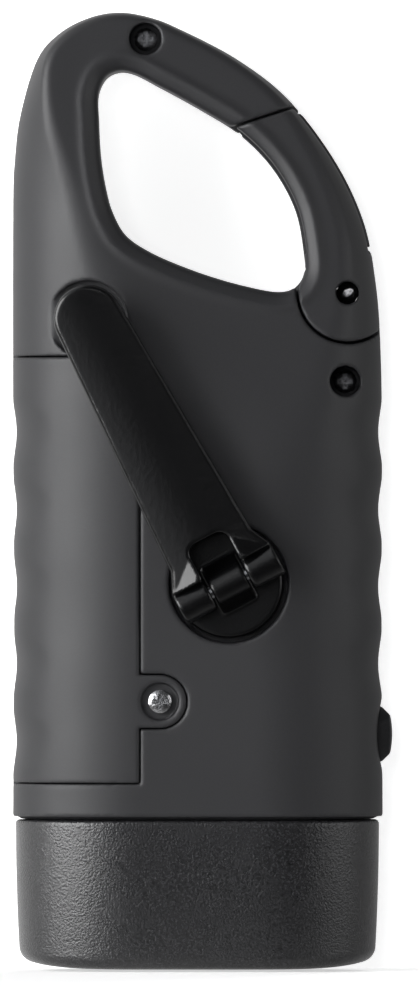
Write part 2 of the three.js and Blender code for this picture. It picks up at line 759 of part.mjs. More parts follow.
function backShell() {
  const pillars = platePillars.map(([x, z]) => rodY(pillarRadius, x, z, gearPlateBack + fit, far, 16));
  const bosses = [
    rodY(hubShaftRadius + fit + wellBossWall, hubX, hubZ, bossFace, far),
    rodY(axleRadius + fit + wellBossWall, idlerX, idlerZ, bossFace, far, 16),
    rodY(rotorShaftRadius + fit + wellBossWall, rotorX, rotorZ, bossFace, far, 16),
  ];
  const ribs = joinAll([...pillars, ...bosses, ...boardPegShares.map(boardPost), sideBoss]);
  return housing
    .subtract(cavity.subtract(ribs))
    .subtract(neckHole)
    .intersect(backHalf)
    .subtract(rodY(hubShaftRadius + fit, hubX, hubZ, 0, shaftEnd + fit))
    .subtract(rodY(axleRadius + fit, idlerX, idlerZ, 0, shaftEnd + fit, 16))
    .subtract(rodY(rotorShaftRadius + fit, rotorX, rotorZ, 0, shaftEnd + fit, 16))
    .subtract(joinAll(platePillars.map(([x, z]) =>
      rodY(plateScrew.shankRadius + fit, x, z, 0, gearPlateFront + plateScrew.length + fit, 12))))
    .subtract(gateWedge(gateCutGap, -far, far).subtract(discY(gatePivotX, gatePivotZ, gateDiscRadius)))
    .subtract(discY(gatePivotX, gatePivotZ, springPocketRadius, -far, springPocketDepth, 8))
    .subtract(hingePinHole())
    .subtract(shellScrewHoleSet)
    .subtract(buttonPrism(fit, -far, far * 2).intersect(box(buttonInnerX, far * 2, -far, far, 0, bodyHeight)))
    .subtract(buttonDish());
}

function batteryDoor() {
  const slab = extrudeY(doorSlabShape(0), -far, -partingGap / 2);
  const ear = extrudeY(earShape(0), -far, -bodyHalfDepth + earDepth);
  return bodySolid
    .subtract(cavity)
    .intersect(slab)
    .add(bodySolid.intersect(ear))
    .subtract(rodY(doorSeatRadius, earX, earZ, -far, -bodyHalfDepth + doorSeatDepth))
    .subtract(rodY(doorScrew.shankRadius + fit, earX, earZ, -far, far, 12));
}

function gate() {
  const lap = -partingGap / 2;
  const disc = discY(gatePivotX, gatePivotZ, gateDiscRadius, -far, lap);
  const cheekRoom = discY(gatePivotX, gatePivotZ, gateDiscRadius + gateDiscFit, lap, far);
  const arm = gateWedge(0, -far, far).subtract(cheekRoom);
  return bodySolid.intersect(arm.add(disc)).subtract(hingePinHole());
}

function gatePin() {
  const front = -facetDepth(gatePivotX, gatePivotZ, gatePinRecess + fit);
  return rodY(gatePinRadius, gatePivotX, gatePivotZ, front, -front, 12);
}

// Helix as one tube, about an axis along Y or Z
function coil(radiusAt, turns, pitch, wire, stepsPerTurn = 8, sides = 5) {
  const steps = Math.round(turns * stepsPerTurn);
  const points = Array.from({ length: steps + 1 }, (_, i) => {
    const t = i / steps;
    const angle = t * turns * fullTurn;
    return new THREE.Vector3(Math.cos(angle) * radiusAt(t), Math.sin(angle) * radiusAt(t), t * turns * pitch);
  });
  const section = new THREE.Shape();
  section.absarc(0, 0, wire, 0, fullTurn, false);
  const path = new THREE.CatmullRomCurve3(points);
  return new THREE.ExtrudeGeometry(section, { extrudePath: path, steps, curveSegments: sides / 2 });
}

function gateSpring() {
  const spring = coil(() => gateSpringRadius, gateSpringTurns, gateSpringPitch, gateSpringWire);
  spring.rotateX(-Math.PI / 2).translate(gatePivotX, gateSpringWire + fit + partingGap / 2, gatePivotZ);
  return solid(spring);
}

function headRing(z, inset, count) {
  const lift = Math.min(1, z / headRound);
  const corner = headRound * (1 - Math.sqrt(Math.max(0, 1 - (1 - lift) ** 2)));
  const taper = headBottomInset * (1 - z / headSeam) ** 2;
  return bodyRing(seamTop, headInset + corner + taper + inset, count)
    .map((point) => new THREE.Vector3(point.x, point.y, z));
}

// Outline of the lamp window, grown by a margin
function windowShape(margin) {
  const corner = windowCorner + margin;
  const [x, y] = [windowHalfWidth - windowCorner, windowHalfDepth - windowCorner];
  const shape = new THREE.Shape();
  shape.absarc(x, y, corner, 0, Math.PI / 2, false);
  shape.absarc(-x, y, corner, Math.PI / 2, Math.PI, false);
  shape.absarc(-x, -y, corner, Math.PI, Math.PI * 1.5, false);
  shape.absarc(x, -y, corner, -Math.PI / 2, 0, false);
  shape.closePath();
  return shape;
}

function headBezel() {
  const levels = [0, 0.15, 0.45, 1].map((share) => share * headRound).concat([headSeam / 2, headSeam]);
  const outer = loft(levels.map((z) => headRing(z, 0, bodyPointCount)), alongZ);
  const inner = loft([windowLip, headRound + windowLip, headSeam + overrun]
    .map((z) => headRing(Math.min(z + windowLip, headSeam), headWall, innerPointCount)
      .map((p) => new THREE.Vector3(p.x, p.y, z))), alongZ);
  return outer.subtract(inner).subtract(extrudeZ(windowShape(0), -overrun, windowLip + overrun));
}

function lens() {
  return extrudeZ(windowShape(lensFlange), windowLip + fit, lensBack)
    .add(extrudeZ(windowShape(-fit), lensRecess, lensBack));
}

function reflector() {
  const block = extrudeZ(windowShape(0), lensBack + fit, reflectorTop);
  const depth = reflectorTop - lensBack - fit;
  const cup = lampXs.map((x) => {
    const radiusAt = (t) => THREE.MathUtils.lerp(cupRadius, cupThroat, t ** 2);
    const rise = cupShares.map((t) => [radiusAt(t), lensBack + fit + depth * t]);
    const bottom = lensBack + fit - overrun;
    const top = reflectorTop + overrun;
    return turnedZ([[0, bottom], [cupRadius, bottom], ...rise, [cupThroat, top], [0, top]], x, 0, 14);
  });
  return block.subtract(joinAll(cup));
}

function ledBoard() {
  return straightTube(neckOuterInset, ledBoardBottom, ledBoardBottom + ledBoardThickness);
}

function led(x) {
  const top = ledBoardBottom - fit / 2;
  const under = top - ledFlangeHeight;
  const profile = [[0, top], [ledFlange, top], [ledFlange, under], [ledRadius, under]];
  const domeStart = top - ledLength + ledRadius;
  const dome = ledDomeShares.map(([out, down]) => [ledRadius * out, domeStart - ledRadius * down]);
  return turnedZ([...profile, ...dome], x, 0, 10);
}

// Hub disc, its lug and the shaft, drawn with the arm pointing up
function crankHub() {
  const disc = turnedY([
    [0, hubFace], [hubDiscRadius - hubChamfer, hubFace], [hubDiscRadius, hubFace + hubChamfer],
    [hubDiscRadius, hubBack], [hubShaftRadius, hubBack], [hubShaftRadius, shaftEnd], [0, shaftEnd],
  ], 0, 0, 24);
  const lugShape = new THREE.Shape();
  const shoulder = hingeBarrelRadius * 0.95;
  lugShape.moveTo(hubFace + hubChamfer, -lugHalfLength);
  lugShape.lineTo(hubFace, -lugHalfLength);
  lugShape.lineTo(hingeY, -shoulder);
  lugShape.absarc(hingeY, 0, hingeBarrelRadius, -Math.PI / 2, Math.PI / 2, true);
  lugShape.lineTo(hubFace, lugHalfLength);
  lugShape.lineTo(hubFace + hubChamfer, lugHalfLength);
  lugShape.closePath();
  return disc
    .add(extrudeX(lugShape, -lugWidth / 2, lugWidth / 2))
    .subtract(rodX(hingePinRadius + fit, -far, far, hingeY, 0));
}

function hingePin() {
  const reach = armKnuckleHalfWidth - fit;
  return rodX(hingePinRadius, -reach, reach, hingeY, 0);
}

// Arm outline seen from the front, drawn pointing up from the hinge
function armOutline(inset) {
  const shape = new THREE.Shape();
  const knuckle = armKnuckleHalfWidth - inset;
  const root = armRootHalfWidth - inset;
  const tip = armTipRadius - inset;
  shape.moveTo(-knuckle, -hingeBarrelRadius);
  shape.lineTo(knuckle, -hingeBarrelRadius);
  shape.lineTo(knuckle, hingeBarrelRadius);
  shape.lineTo(root, armRootLength);
  shape.lineTo(tip, crankRadius);
  shape.absarc(0, crankRadius, tip, 0, Math.PI, false);
  shape.lineTo(-root, armRootLength);
  shape.lineTo(-knuckle, hingeBarrelRadius);
  shape.closePath();
  return shape;
}

function crankArm() {
  const top = hingeY - armTop;
  const under = top + armPlate;
  const side = new THREE.Shape();
  side.moveTo(hingeY, -hingeBarrelRadius);
  side.absarc(hingeY, 0, hingeBarrelRadius, -Math.PI / 2, 0, false);
  side.lineTo(hingeY + armSkirtDrop, armSkirtStart);
  side.lineTo(under, armSkirtEnd);
  side.lineTo(under, crankRadius + armTipRadius + overrun);
  side.lineTo(top, crankRadius + armTipRadius + overrun);
  side.lineTo(top, armRampLength);
  side.absarc(hingeY, 0, hingeBarrelRadius, armRampFoot, Math.PI * 1.5, false);
  const blank = extrudeY(armOutline(0), top - overrun, hingeY + far, 5)
    .intersect(extrudeX(side, -far, far));
  const hollow = extrudeY(armOutline(armSkirt), under, hingeY + far, 4)
    .intersect(box(-far, far, -far * 2, 0, armSlotLength + armSkirt, crankRadius * 2));
  const slot = extrudeY(roundedSlot(), top - overrun, hingeY + far, 2);
  const postEnd = knobBottom - knobScrewHeadThickness - fit;
  const pinReach = armKnuckleHalfWidth - fit / 2;
  const post = rodY(knobPostRadius, 0, crankRadius, under - armPlate / 2, postEnd);
  return blank
    .subtract(hollow)
    .subtract(slot)
    .add(post)
    .subtract(rodX(hingePinRadius + fit, -pinReach, pinReach, hingeY, 0))
    .subtract(rodY(knobScrewShank + fit, 0, crankRadius, under + fit, far, 10));
}

// Slot of the arm's root, open at the hinge
function roundedSlot() {
  const half = lugWidth / 2 + fit;
  const corner = half / 2;
  const shape = new THREE.Shape();
  shape.moveTo(-half, -overrun);
  shape.lineTo(half, -overrun);
  shape.lineTo(half, armSlotLength - corner);
  shape.absarc(half - corner, armSlotLength - corner, corner, 0, Math.PI / 2, false);
  shape.lineTo(-half + corner, armSlotLength);
  shape.absarc(-half + corner, armSlotLength - corner, corner, Math.PI / 2, Math.PI, false);
  shape.closePath();
  return shape;
}

function crankKnob() {
  const top = hingeY - armTop + armPlate + fit;
  const bore = knobPostRadius + fit;
  const seat = knobScrewHead + fit;
  const seatY = knobBottom - knobScrewHeadThickness - fit;
  return turnedY([
    [bore, top], [knobRadius - hubChamfer, top],
    [knobRadius, top + hubChamfer], [knobRadius, knobBottom - hubChamfer],
    [knobRadius - hubChamfer, knobBottom], [seat, knobBottom], [seat, seatY], [bore, seatY], [bore, top],
  ], 0, crankRadius, 16);
}

function knobScrew() {
  const headTop = knobBottom - knobScrewHeadThickness;
  const end = hingeY - armTop + armPlate + fit * 2;
  return turnedY([
    [0, end], [knobScrewShank, end], [knobScrewShank, headTop], [knobScrewHead, headTop],
    [knobScrewHead, knobBottom - fit / 2], [0, knobBottom - fit / 2],
  ], 0, crankRadius, 10);
}

// Involute spur gear outline with a tooth centred on an angle
function gearShape(module, teeth, toothAngle) {
  const pitchRadius = module * teeth / 2;
  const baseRadius = pitchRadius * Math.cos(pressureAngle);
  const tipRadius = pitchRadius + addendumShare * module;
  const rootRadius = pitchRadius - dedendumShare * module;
  const involute = (radius) => {
    const a = Math.acos(Math.min(1, baseRadius / radius));
    return Math.tan(a) - a;
  };
  const halfTooth = (Math.PI * module / 2 - backlash) / 2 / pitchRadius;
  const halfAngleAt = (radius) => halfTooth + involute(pitchRadius) - involute(Math.max(radius, baseRadius));
  const flank = [0, 0.5, 1].map((t) => THREE.MathUtils.lerp(Math.max(rootRadius, baseRadius), tipRadius, t));
  const points = [];
  for (let k = 0; k < teeth; k += 1) {
    const centre = toothAngle + (k / teeth) * fullTurn;
    const at = (radius, angle) => points.push([
      Math.cos(centre + angle) * radius,
      Math.sin(centre + angle) * radius,
    ]);
    if (rootRadius < baseRadius) at(rootRadius, -halfAngleAt(baseRadius));
    flank.forEach((radius) => at(radius, -halfAngleAt(radius)));
    [...flank].reverse().forEach((radius) => at(radius, halfAngleAt(radius)));
    if (rootRadius < baseRadius) at(rootRadius, halfAngleAt(baseRadius));
  }
  return polygon(points);
}

function gear(module, teeth, toothAngle, bore, yFrom, yTo) {
  const shape = gearShape(module, teeth, toothAngle);
  return extrudeY(shape, yFrom, yTo).subtract(rodY(bore, 0, 0, yFrom - overrun, yTo + overrun, 12));
}

function crankGear() {
  const bore = hubShaftRadius + fit;
  const wheel = gear(driveModule, driveTeeth, idlerBearing, bore, driveLayer, driveLayer + gearThickness);
  const at = (bore + driveRadius) / 2;
  const holes = Array.from({ length: gearHoleCount }, (_, k) => {
    const angle = idlerBearing + (k / gearHoleCount) * fullTurn;
    return rodY(gearHoleRadius, Math.cos(angle) * at, Math.sin(angle) * at, -far, far, 8);
  });
  return wheel.subtract(joinAll(holes));
}

function idlerGear() {
  const gap = idlerBearing + Math.PI + Math.PI / pinionTeeth;
  const bore = axleRadius + fit;
  const [front, back] = [driveLayer - layerGap / 2, fineLayer + gearThickness / 2];
  const pinion = gear(driveModule, pinionTeeth, gap, bore, front, back);
  const wheel = gear(fineModule, fineTeeth, rotorBearing, bore, fineLayer, fineLayer + gearThickness);
  return pinion.add(wheel);
}

function rotorPinion() {
  const gap = rotorBearing + Math.PI + Math.PI / pinionTeeth;
  return gear(fineModule, pinionTeeth, gap, rotorShaftRadius + fit, fineLayer - layerGap / 2,
    fineLayer + gearThickness);
}

function rotorShaft() {
  return rodY(rotorShaftRadius, 0, 0, canFront + fit, shaftEnd, 12);
}

function rotorMagnet() {
  const [front, back] = [canFront + canWall * 4, gearPlateFront - canWall * 2];
  return ringY(magnetRadius, rotorShaftRadius + fit, 0, 0, front, back);
}

function generatorCan() {
  const [front, back] = [canFront, gearPlateFront - fit];
  const hole = rotorShaftRadius + fit;
  return turnedY([
    [hole, front], [canRadius, front], [canRadius, back], [canRadius - canWall, back],
    [canRadius - canWall, front + canWall], [hole, front + canWall], [hole, front],
  ], 0, 0, 16);
}

function statorCoil() {
  return ringY(coilOuter, coilInner, 0, 0, canFront + canWall + fit, gearPlateFront - fit * 2);
}

function gearPlate() {
  const margin = pillarRadius + fit;
  const hull = new THREE.Shape();
  const [low, right, upper] = platePillars;
  hull.absarc(...low, margin, -Math.PI * 0.7, -Math.PI * 0.05, false);
  hull.absarc(...right, margin, -Math.PI * 0.05, Math.PI * 0.25, false);
  hull.absarc(rotorX, rotorZ, rotorShaftRadius + plateNeck * 1.5, Math.PI * 0.25, Math.PI * 0.75, false);
  hull.absarc(...upper, margin, Math.PI * 0.75, Math.PI * 1.1, false);
  hull.absarc(hubX, hubZ, hubShaftRadius + fit + plateNeck, Math.PI * 1.1, Math.PI * 1.3, false);
  hull.closePath();
  const hole = (radius, x, z) => rodY(radius + fit, x, z, gearPlateFront - overrun, far, 12);
  const holes = [
    hole(hubShaftRadius, hubX, hubZ),
    hole(axleRadius, idlerX, idlerZ),
    hole(rotorShaftRadius, rotorX, rotorZ),
    ...platePillars.map(([x, z]) => hole(plateScrew.shankRadius, x, z)),
  ];
  return extrudeY(hull, gearPlateFront, gearPlateBack, 3).subtract(joinAll(holes));
}

function idlerAxle() {
  return rodY(axleRadius, idlerX, idlerZ, gearPlateFront, shaftEnd, 16);
}

// Pan-head screw driven along +Y, with its head's face at headY
function screwY({ headRadius, headThickness, shankRadius, length }, x, z, headY) {
  const [under, end] = [headY + headThickness, headY + length];
  return turnedY([
    [0, headY], [headRadius, headY], [headRadius, under], [shankRadius, under], [shankRadius, end], [0, end],
  ], x, z, 10);
}

function gearPlateScrew([x, z]) {
  return screwY(plateScrew, x, z, gearPlateFront - fit / 2 - plateScrew.headThickness);
}

function hubBush() {
  const front = hubCupFloor;
  return ringY(hubShaftRadius + bushWall + fit, hubShaftRadius + fit, hubX, hubZ, front, front + bushLength);
}

function batteryTray() {
  const [floor, ceiling] = [trayBottom + trayWall, trayTop - trayWall];
  const block = box(-bodyHalfWidth, trayRight, cellY - cellRadius / 2, cellY + trayReach + trayWall,
    trayBottom, trayTop);
  const room = turnedZ([[0, floor], [trayReach, floor], [trayReach, ceiling], [0, ceiling]], cellX, cellY);
  const mouth = box(-bodyHalfWidth, cellX + trayReach, -far, cellY, floor, ceiling);
  return block
    .intersect(innerBody(shellWall + fit, trayBottom - overrun, trayTop + overrun))
    .subtract(room)
    .subtract(mouth);
}

function batteryCell() {
  const top = cellBottom + cellLength;
  return turnedZ([[0, cellBottom], [cellRadius, cellBottom], [cellRadius, top], [cellNubRadius, top],
    [cellNubRadius, top + cellNub], [0, top + cellNub]], cellX, cellY);
}

function positiveContact() {
  const z = cellBottom + cellLength + cellNub + fit;
  const half = contactWidth / 2;
  return box(cellX - half, cellX + half, cellY - half, cellY + half, z, z + contactThickness);
}

function negativeContact() {
  const height = springRoom - springWire * 2 - fit * 2;
  const radiusAt = (t) => cellRadius * THREE.MathUtils.lerp(...springShares, t);
  const spring = coil(radiusAt, springTurns, height / springTurns, springWire);
  spring.translate(cellX, cellY, trayBottom + trayWall + springWire + fit);
  return solid(spring);
}

const buttonOuterX = bodyHalfWidth + buttonProud;
const buttonFlangeX = edgeAt(rightEdge, buttonZ) - shellWall - fit * 1.5 - buttonFlange;

function powerButton() {
  const rim = buttonProud / 3;
  const cap = buttonPrism(0, buttonFlangeX, buttonOuterX - rim)
    .add(buttonPrism(-rim, buttonFlangeX, buttonOuterX));
  const flange = buttonPrism(buttonFlangeMargin, buttonFlangeX, buttonFlangeX + buttonFlange);
  const stem = rodX(buttonStem, buttonFlangeX - buttonStem, buttonFlangeX + buttonFlange, 0, buttonZ);
  return cap.add(flange).add(stem);
}

const plungerX = buttonFlangeX - buttonStem - buttonTravel - fit;

function switchBody() {
  const half = switchSize / 2;
  const bodyX = plungerX - plungerLength;
  return box(bodyX - switchDepth, bodyX, -half, half, buttonZ - half, buttonZ + half)
    .add(rodX(plungerRadius, bodyX - plungerLength, plungerX, 0, buttonZ, 12));
}

function circuitBoard() {
  return box(boardLeft, boardRight, boardY, boardY + boardThickness, boardBottom, boardTop)
    .subtract(joinAll(boardPegShares.map((share) =>
      rodY(boardPegRadius + fit, boardAt(share), boardCentreZ, 0, far, 12))));
}

function capacitor() {
  const back = boardY - fit;
  return rodY(capacitorRadius, boardAt(capacitorShare), boardCentreZ, back - capacitorLength, back, 18);
}

function batteryDoorScrew() {
  return screwY(doorScrew, earX, earZ, doorScrewFace);
}

function wellScrew(x, z) {
  return screwY(shellScrew, x, z, -wellFloor - fit / 2 - shellScrew.headThickness);
}

const model = new THREE.Group();

function place(parent, name, body, finish) {
  const mesh = new THREE.Mesh(toGeometry(body), new THREE.MeshStandardMaterial(finish));
  mesh.name = name;
  parent.add(mesh);
  return mesh;
}

place(model, 'front_shell', frontShell(), charcoal);
place(model, 'back_shell', backShell(), charcoal);
place(model, 'battery_door', batteryDoor(), charcoal);
place(model, 'battery_door_screw', batteryDoorScrew(), steel);
place(model, 'shell_screw_top', wellScrew(topWellX, topWellZ), darkSteel);
place(model, 'shell_screw_side', wellScrew(sideWellX, sideWellZ), darkSteel);
place(model, 'gate', gate(), charcoal);
place(model, 'gate_pin', gatePin(), steel);
place(model, 'gate_spring', gateSpring(), steel);
place(model, 'head_bezel', headBezel(), bareBlack);
place(model, 'lens', lens(), clearPlastic);
place(model, 'reflector', reflector(), chrome);
place(model, 'led_board', ledBoard(), boardGreen);
lampXs.forEach((x, i) => place(model, `led_${i + 1}`, led(x), clearPlastic));
place(model, 'hub_bush', hubBush(), brass);
place(model, 'gear_plate', gearPlate(), darkSteel);
platePillars.forEach((pillar, i) => place(model, `gear_plate_screw_${i + 1}`, gearPlateScrew(pillar), steel));
place(model, 'idler_axle', idlerAxle(), steel);
place(model, 'battery_tray', batteryTray(), bareBlack);
place(model, 'battery_cell', batteryCell(), cellSleeve);
place(model, 'battery_contact_positive', positiveContact(), steel);
place(model, 'battery_contact_negative', negativeContact(), steel);
place(model, 'power_button', powerButton(), bareBlack);
place(model, 'power_switch', switchBody(), bareBlack);
place(model, 'circuit_board', circuitBoard(), boardGreen);
place(model, 'capacitor', capacitor(), bareBlack);

const crank = new THREE.Group();
crank.position.set(hubX, 0, hubZ);
crank.rotation.y = -stowAngle;
place(crank, 'crank_hub', crankHub(), glossBlack);
place(crank, 'crank_hinge_pin', hingePin(), steel);
place(crank, 'crank_arm', crankArm(), glossBlack);
place(crank, 'crank_knob', crankKnob(), glossBlack);
place(crank, 'knob_screw', knobScrew(), steel);
model.add(crank);

place(model, 'crank_gear', crankGear(), whiteNylon).position.set(hubX, 0, hubZ);
place(model, 'idler_gear', idlerGear(), whiteNylon).position.set(idlerX, 0, idlerZ);

const generator = new THREE.Group();
generator.position.set(rotorX, 0, rotorZ);
place(generator, 'rotor_pinion', rotorPinion(), brass);
place(generator, 'rotor_shaft', rotorShaft(), steel);
place(generator, 'rotor_magnet', rotorMagnet(), darkSteel);
place(generator, 'generator_can', generatorCan(), darkSteel);
place(generator, 'stator_coil', statorCoil(), copper);
model.add(generator);

// The part stands on z = 0 with its box centred on the origin
const flashlight = new THREE.Group();
flashlight.name = 'hand_crank_flashlight';
flashlight.add(model);
flashlight.updateMatrixWorld(true);
const bounds = new THREE.Box3().setFromObject(flashlight, true);
model.position.set(-(bounds.min.x + bounds.max.x) / 2, -(bounds.min.y + bounds.max.y) / 2, -bounds.min.z);

export default flashlight;
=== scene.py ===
"""Hand crank flashlight with a carabiner top: its looks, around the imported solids.

Forms are worked out in millimetres in the drawing's own frame (crank side at -Y, shells part at y = 0)
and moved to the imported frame, in metres, when they become meshes.
"""
import math

import bpy
import numpy as np
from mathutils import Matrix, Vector


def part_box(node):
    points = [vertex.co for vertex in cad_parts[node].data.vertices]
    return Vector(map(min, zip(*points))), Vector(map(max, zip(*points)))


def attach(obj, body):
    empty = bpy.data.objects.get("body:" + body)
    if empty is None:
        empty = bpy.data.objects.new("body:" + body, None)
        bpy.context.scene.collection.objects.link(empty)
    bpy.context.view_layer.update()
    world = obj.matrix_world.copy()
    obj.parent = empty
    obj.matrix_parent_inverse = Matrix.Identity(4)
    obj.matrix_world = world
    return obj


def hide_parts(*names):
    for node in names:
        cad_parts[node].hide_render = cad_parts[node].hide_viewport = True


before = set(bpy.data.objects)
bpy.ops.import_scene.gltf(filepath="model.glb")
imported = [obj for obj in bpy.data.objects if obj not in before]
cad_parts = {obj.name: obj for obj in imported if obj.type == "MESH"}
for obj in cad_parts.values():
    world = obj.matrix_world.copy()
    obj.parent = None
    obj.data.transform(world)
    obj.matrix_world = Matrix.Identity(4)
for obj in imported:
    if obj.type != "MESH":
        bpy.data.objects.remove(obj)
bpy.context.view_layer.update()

# Body
HEIGHT = 119.4
HALF_WIDTH = 23.05
HALF_DEPTH = 14.0
POWER = 2.3
FLANK = HALF_WIDTH * 0.7
FLANK_AT_CROWN = HALF_WIDTH * 0.12
WALL = 2.0
PART_GAP = 0.15
TONGUE_INSET = 0.5
TONGUE_FIT = 0.08
FIT = 0.3
DOOR_GAP = 0.14
SEAM_TOP = 18.9
CROWN_START = HEIGHT * 0.8
WAIST = (45.0, 16.0, 0.14)
FACET_START = HEIGHT * 0.6214
FACET_RISE = 0.16
FACET_LEAN = 0.125
CAVITY_TOP = 80.0
NECK_BOTTOM = 13.3
NECK_INSET = 2.45
NECK_WALL = 1.4
GROOVE_INSET = 0.8
GROOVE_GAP = 0.1

LEFT_EDGE = [(-1, 0.156), (-1, 0.5), (-1, 0.78), (-0.99, 0.846), (-0.957, 0.895), (-0.868, 0.951),
             (-0.745, 0.9785), (-0.5824, 0.9948), (-0.42, 1)]
RIGHT_EDGE = [(1.005, 0.156), (1.004, 0.5), (0.994, 0.645), (0.965, 0.72), (0.898, 0.783),
              (0.742, 0.846), (0.494, 0.909), (0.216, 0.951), (-0.1, 0.983), (-0.257, 0.9948)]
EYE = [(-0.534, 0.915), (-0.49, 0.932), (-0.42, 0.938), (-0.347, 0.936), (-0.204, 0.922),
       (0.013, 0.899), (0.221, 0.874), (0.364, 0.848), (0.464, 0.821), (0.538, 0.79), (0.573, 0.756),
       (0.582, 0.731), (0.56, 0.719), (0.512, 0.71), (0.442, 0.707), (0.247, 0.7136),
       (-0.024, 0.7295), (-0.273, 0.7504), (-0.391, 0.767), (-0.46, 0.7915), (-0.49, 0.8116),
       (-0.521, 0.846), (-0.534, 0.888)]

# Roundings of the mouldings' edges
EDGE_SOFT = 0.3
EDGE_FACET = 0.8
EDGE_DOOR = 0.12
EDGE_EYE = 1.9
EDGE_GRIP = 0.6
RIDGE = (1.9, 0.6, 0.24)

# Gate
GATE_PIVOT = (0.8113, 0.706)
GATE_CUT = [(0.2386, 0.8769), (0.5401, 0.8961)]
GATE_DISC = 6.06
GATE_GAP = 0.3
LAP = 0.5
LAP_SLOPE = 0.3
GATE_LIP = 0.35
GATE_LIP_BOTTOM = 89.2
SPRING_POCKET = (2.95, 3.35)
PIN_HOLE = 1.4
PIN_RECESS = 1.42
PIN_RECESS_DEPTH = 0.7
PIN = 1.36
PIN_TURN = math.radians(32)
PIN_OVAL = (0.85, 0.52)
PIN_TIP = 0.35
PIN_FALL = 2.0
PIN_SLANT = (0.33, 0.1)
PIN_CUT = 0.26

# Lamp head
HEAD_SEAM = 18.6
HEAD_INSET = 0.35
HEAD_TAPER = 0.6
HEAD_ROUND = 1.3
HEAD_ARCH = 1.6
HEAD_WALL = 1.8
WINDOW_HALF = (18.2, 7.6)
WINDOW_CORNER = 5.0
WINDOW_LIP = 1.6
CUPS = (-12.0, 0.0, 12.0)
CUP_MOUTH = 5.4
CUP_THROAT = 2.9
REFLECTOR = (3.8, 11.2)
LED = 2.2
LED_FLANGE = 2.5
LED_TIP = 6.3
LED_SEAT = 10.5
LED_BACK = 11.5

# Crank
HUB = (0.1692 * HALF_WIDTH, 48.1)
HUB_HOLE = 7.44
HUB_DISC = 6.75
HUB_FACE = -13.7
HUB_BACK = -10.7
HUB_CUP_FLOOR = -10.4
HUB_CUP_WALL = 1.5
HUB_SHAFT = 2.5
BUSH_HOLE = 4.3
BUSH_HOLE_FRONT = -11.0
SHAFT_END = 11.1
LUG_HALF_WIDTH = 2.3
LUG_HALF_LENGTH = 3.25
HINGE_Y = -17.2
BARREL = 1.9
HINGE_BORE = 1.1
STOW = math.radians(28)
CRANK_RADIUS = 37.2
ARM_TIP = 4.27
KNUCKLE = 6.9
ARM_ROOT = 5.7
ARM_ROOT_LENGTH = 4.5
ARM_CROWN = 0.014
RISE_FOOT = ((3.0, 5.0), (6.4, 2.1))
RISE_SLOPE = 0.3
ARM_SINK = 0.4
ARM_SINK_END = 44.0
ARM_BARREL = 2.2
ARM_TOP = -20.0
ARM_UNDER = -18.4
ARM_SKIRT = 1.3
ARM_SKIRT_END = 31.0
ARM_CORNER = 0.5
ARM_HEEL = (HINGE_Y + 2.2, 4.25)
ARM_PAST = 50.0
ARM_SLOT = 6.3
SLOT_CORNER = 1.25
POST = 1.35
POST_END = -15.4
POST_BORE = 0.85
KNOB = 3.7
KNOB_TOP = -18.1
KNOB_BOTTOM = -14.4
KNOB_BORE = 1.65
KNOB_DISH = 2.5
TIP = (HUB[0] - math.sin(STOW) * CRANK_RADIUS, HUB[1] + math.cos(STOW) * CRANK_RADIUS)
TIP_RECESS = 4.86
TIP_FLOOR = -10.9

# Door, screws and button
DOOR_EDGE = -0.3124 * HALF_WIDTH
DOOR_BOTTOM = 23.25
DOOR_TOP = 76.3
DOOR_LAP = 1.4
DOOR_ROOT = 2.8
DOOR_LIP = (-11.25, -9.85)
EAR = (DOOR_EDGE + 2.54, 33.4)
EAR_RADIUS = 3.3
EAR_FLOOR = -12.3
EAR_BOSS = (-13.0, -8.0)
EAR_BACK = -9.2
SEAT = 2.33
SEAT_FLOOR = -13.1
WELLS = [(-0.282 * HALF_WIDTH, 0.9715 * HEIGHT, 2.0), (0.7983 * HALF_WIDTH, 0.6139 * HEIGHT, 1.9)]
WELL_FLOOR = -3.6
WELL_WALL = 1.5
SCREW_HOLE = 1.1
SCREW_END = 5.2
BUTTON_Z = 29.25
BUTTON_HALF = 3.45
BUTTON_RADIUS = 2.5
BUTTON_PROUD = 1.3
BUTTON_DOME = (0.03, 0.045)
BUTTON_CHAMFER = (0.33, 1.0)
BUTTON_FLANGE = (0.8, 0.7)
BUTTON_STEM = 1.1
DISH = 10.8
DISH_STRETCH = 3.0

# Finger grooves
GRIP_TOP = 67.0
GRIP_PITCH = 9.65
GRIP_COUNTS = {-1: 5, 1: 4}
GRIP_DEPTH = 0.4
GRIP_TUBE = 8.6
GRIP_WRAP = 17.15

# Bosses and posts behind the shells
BOSS_FACE = 8.6
PLATE_BACK = 2.8
PILLAR = 2.3
PILLAR_BORE = 7.4
BOARD_FACES = (3.1, 4.9)
BOARD_POSTS = [(-2.198, 27.0), (10.708, 27.0)]
BOARD_PEG = 0.8

# Cuts and ribs that go right through the body start and end here
BEFORE = -30.0
BEYOND = 20.0

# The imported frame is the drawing's, shifted so that the part's box is centred
bush_low, bush_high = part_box("hub_bush")
SHIFT = np.array([(bush_low[0] + bush_high[0]) / 2 - HUB[0] / 1000, bush_low[1] - HUB_CUP_FLOOR / 1000, 0])


def drawn_box(node):
    """Lowest and highest corners of a node, in the drawing's millimetres."""
    return [(np.array(corner) - SHIFT) * 1000 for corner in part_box(node)]


def middle(node):
    """Middle of a node's box across the drawing, as x and z."""
    low, high = drawn_box(node)
    return ((low + high) / 2)[[0, 2]]


IDLER, ROTOR = middle("idler_axle"), middle("rotor_shaft")
PILLARS = [middle(f"gear_plate_screw_{k}") for k in (1, 2, 3)]
# Bosses of the three shafts: place, radius and bore
BOSSES = ((HUB, 4.3, 2.8), (IDLER, 2.8, 1.3), (ROTOR, 2.5, 1.0))


# Fields. A field is a distance in millimetres, below zero inside the material.

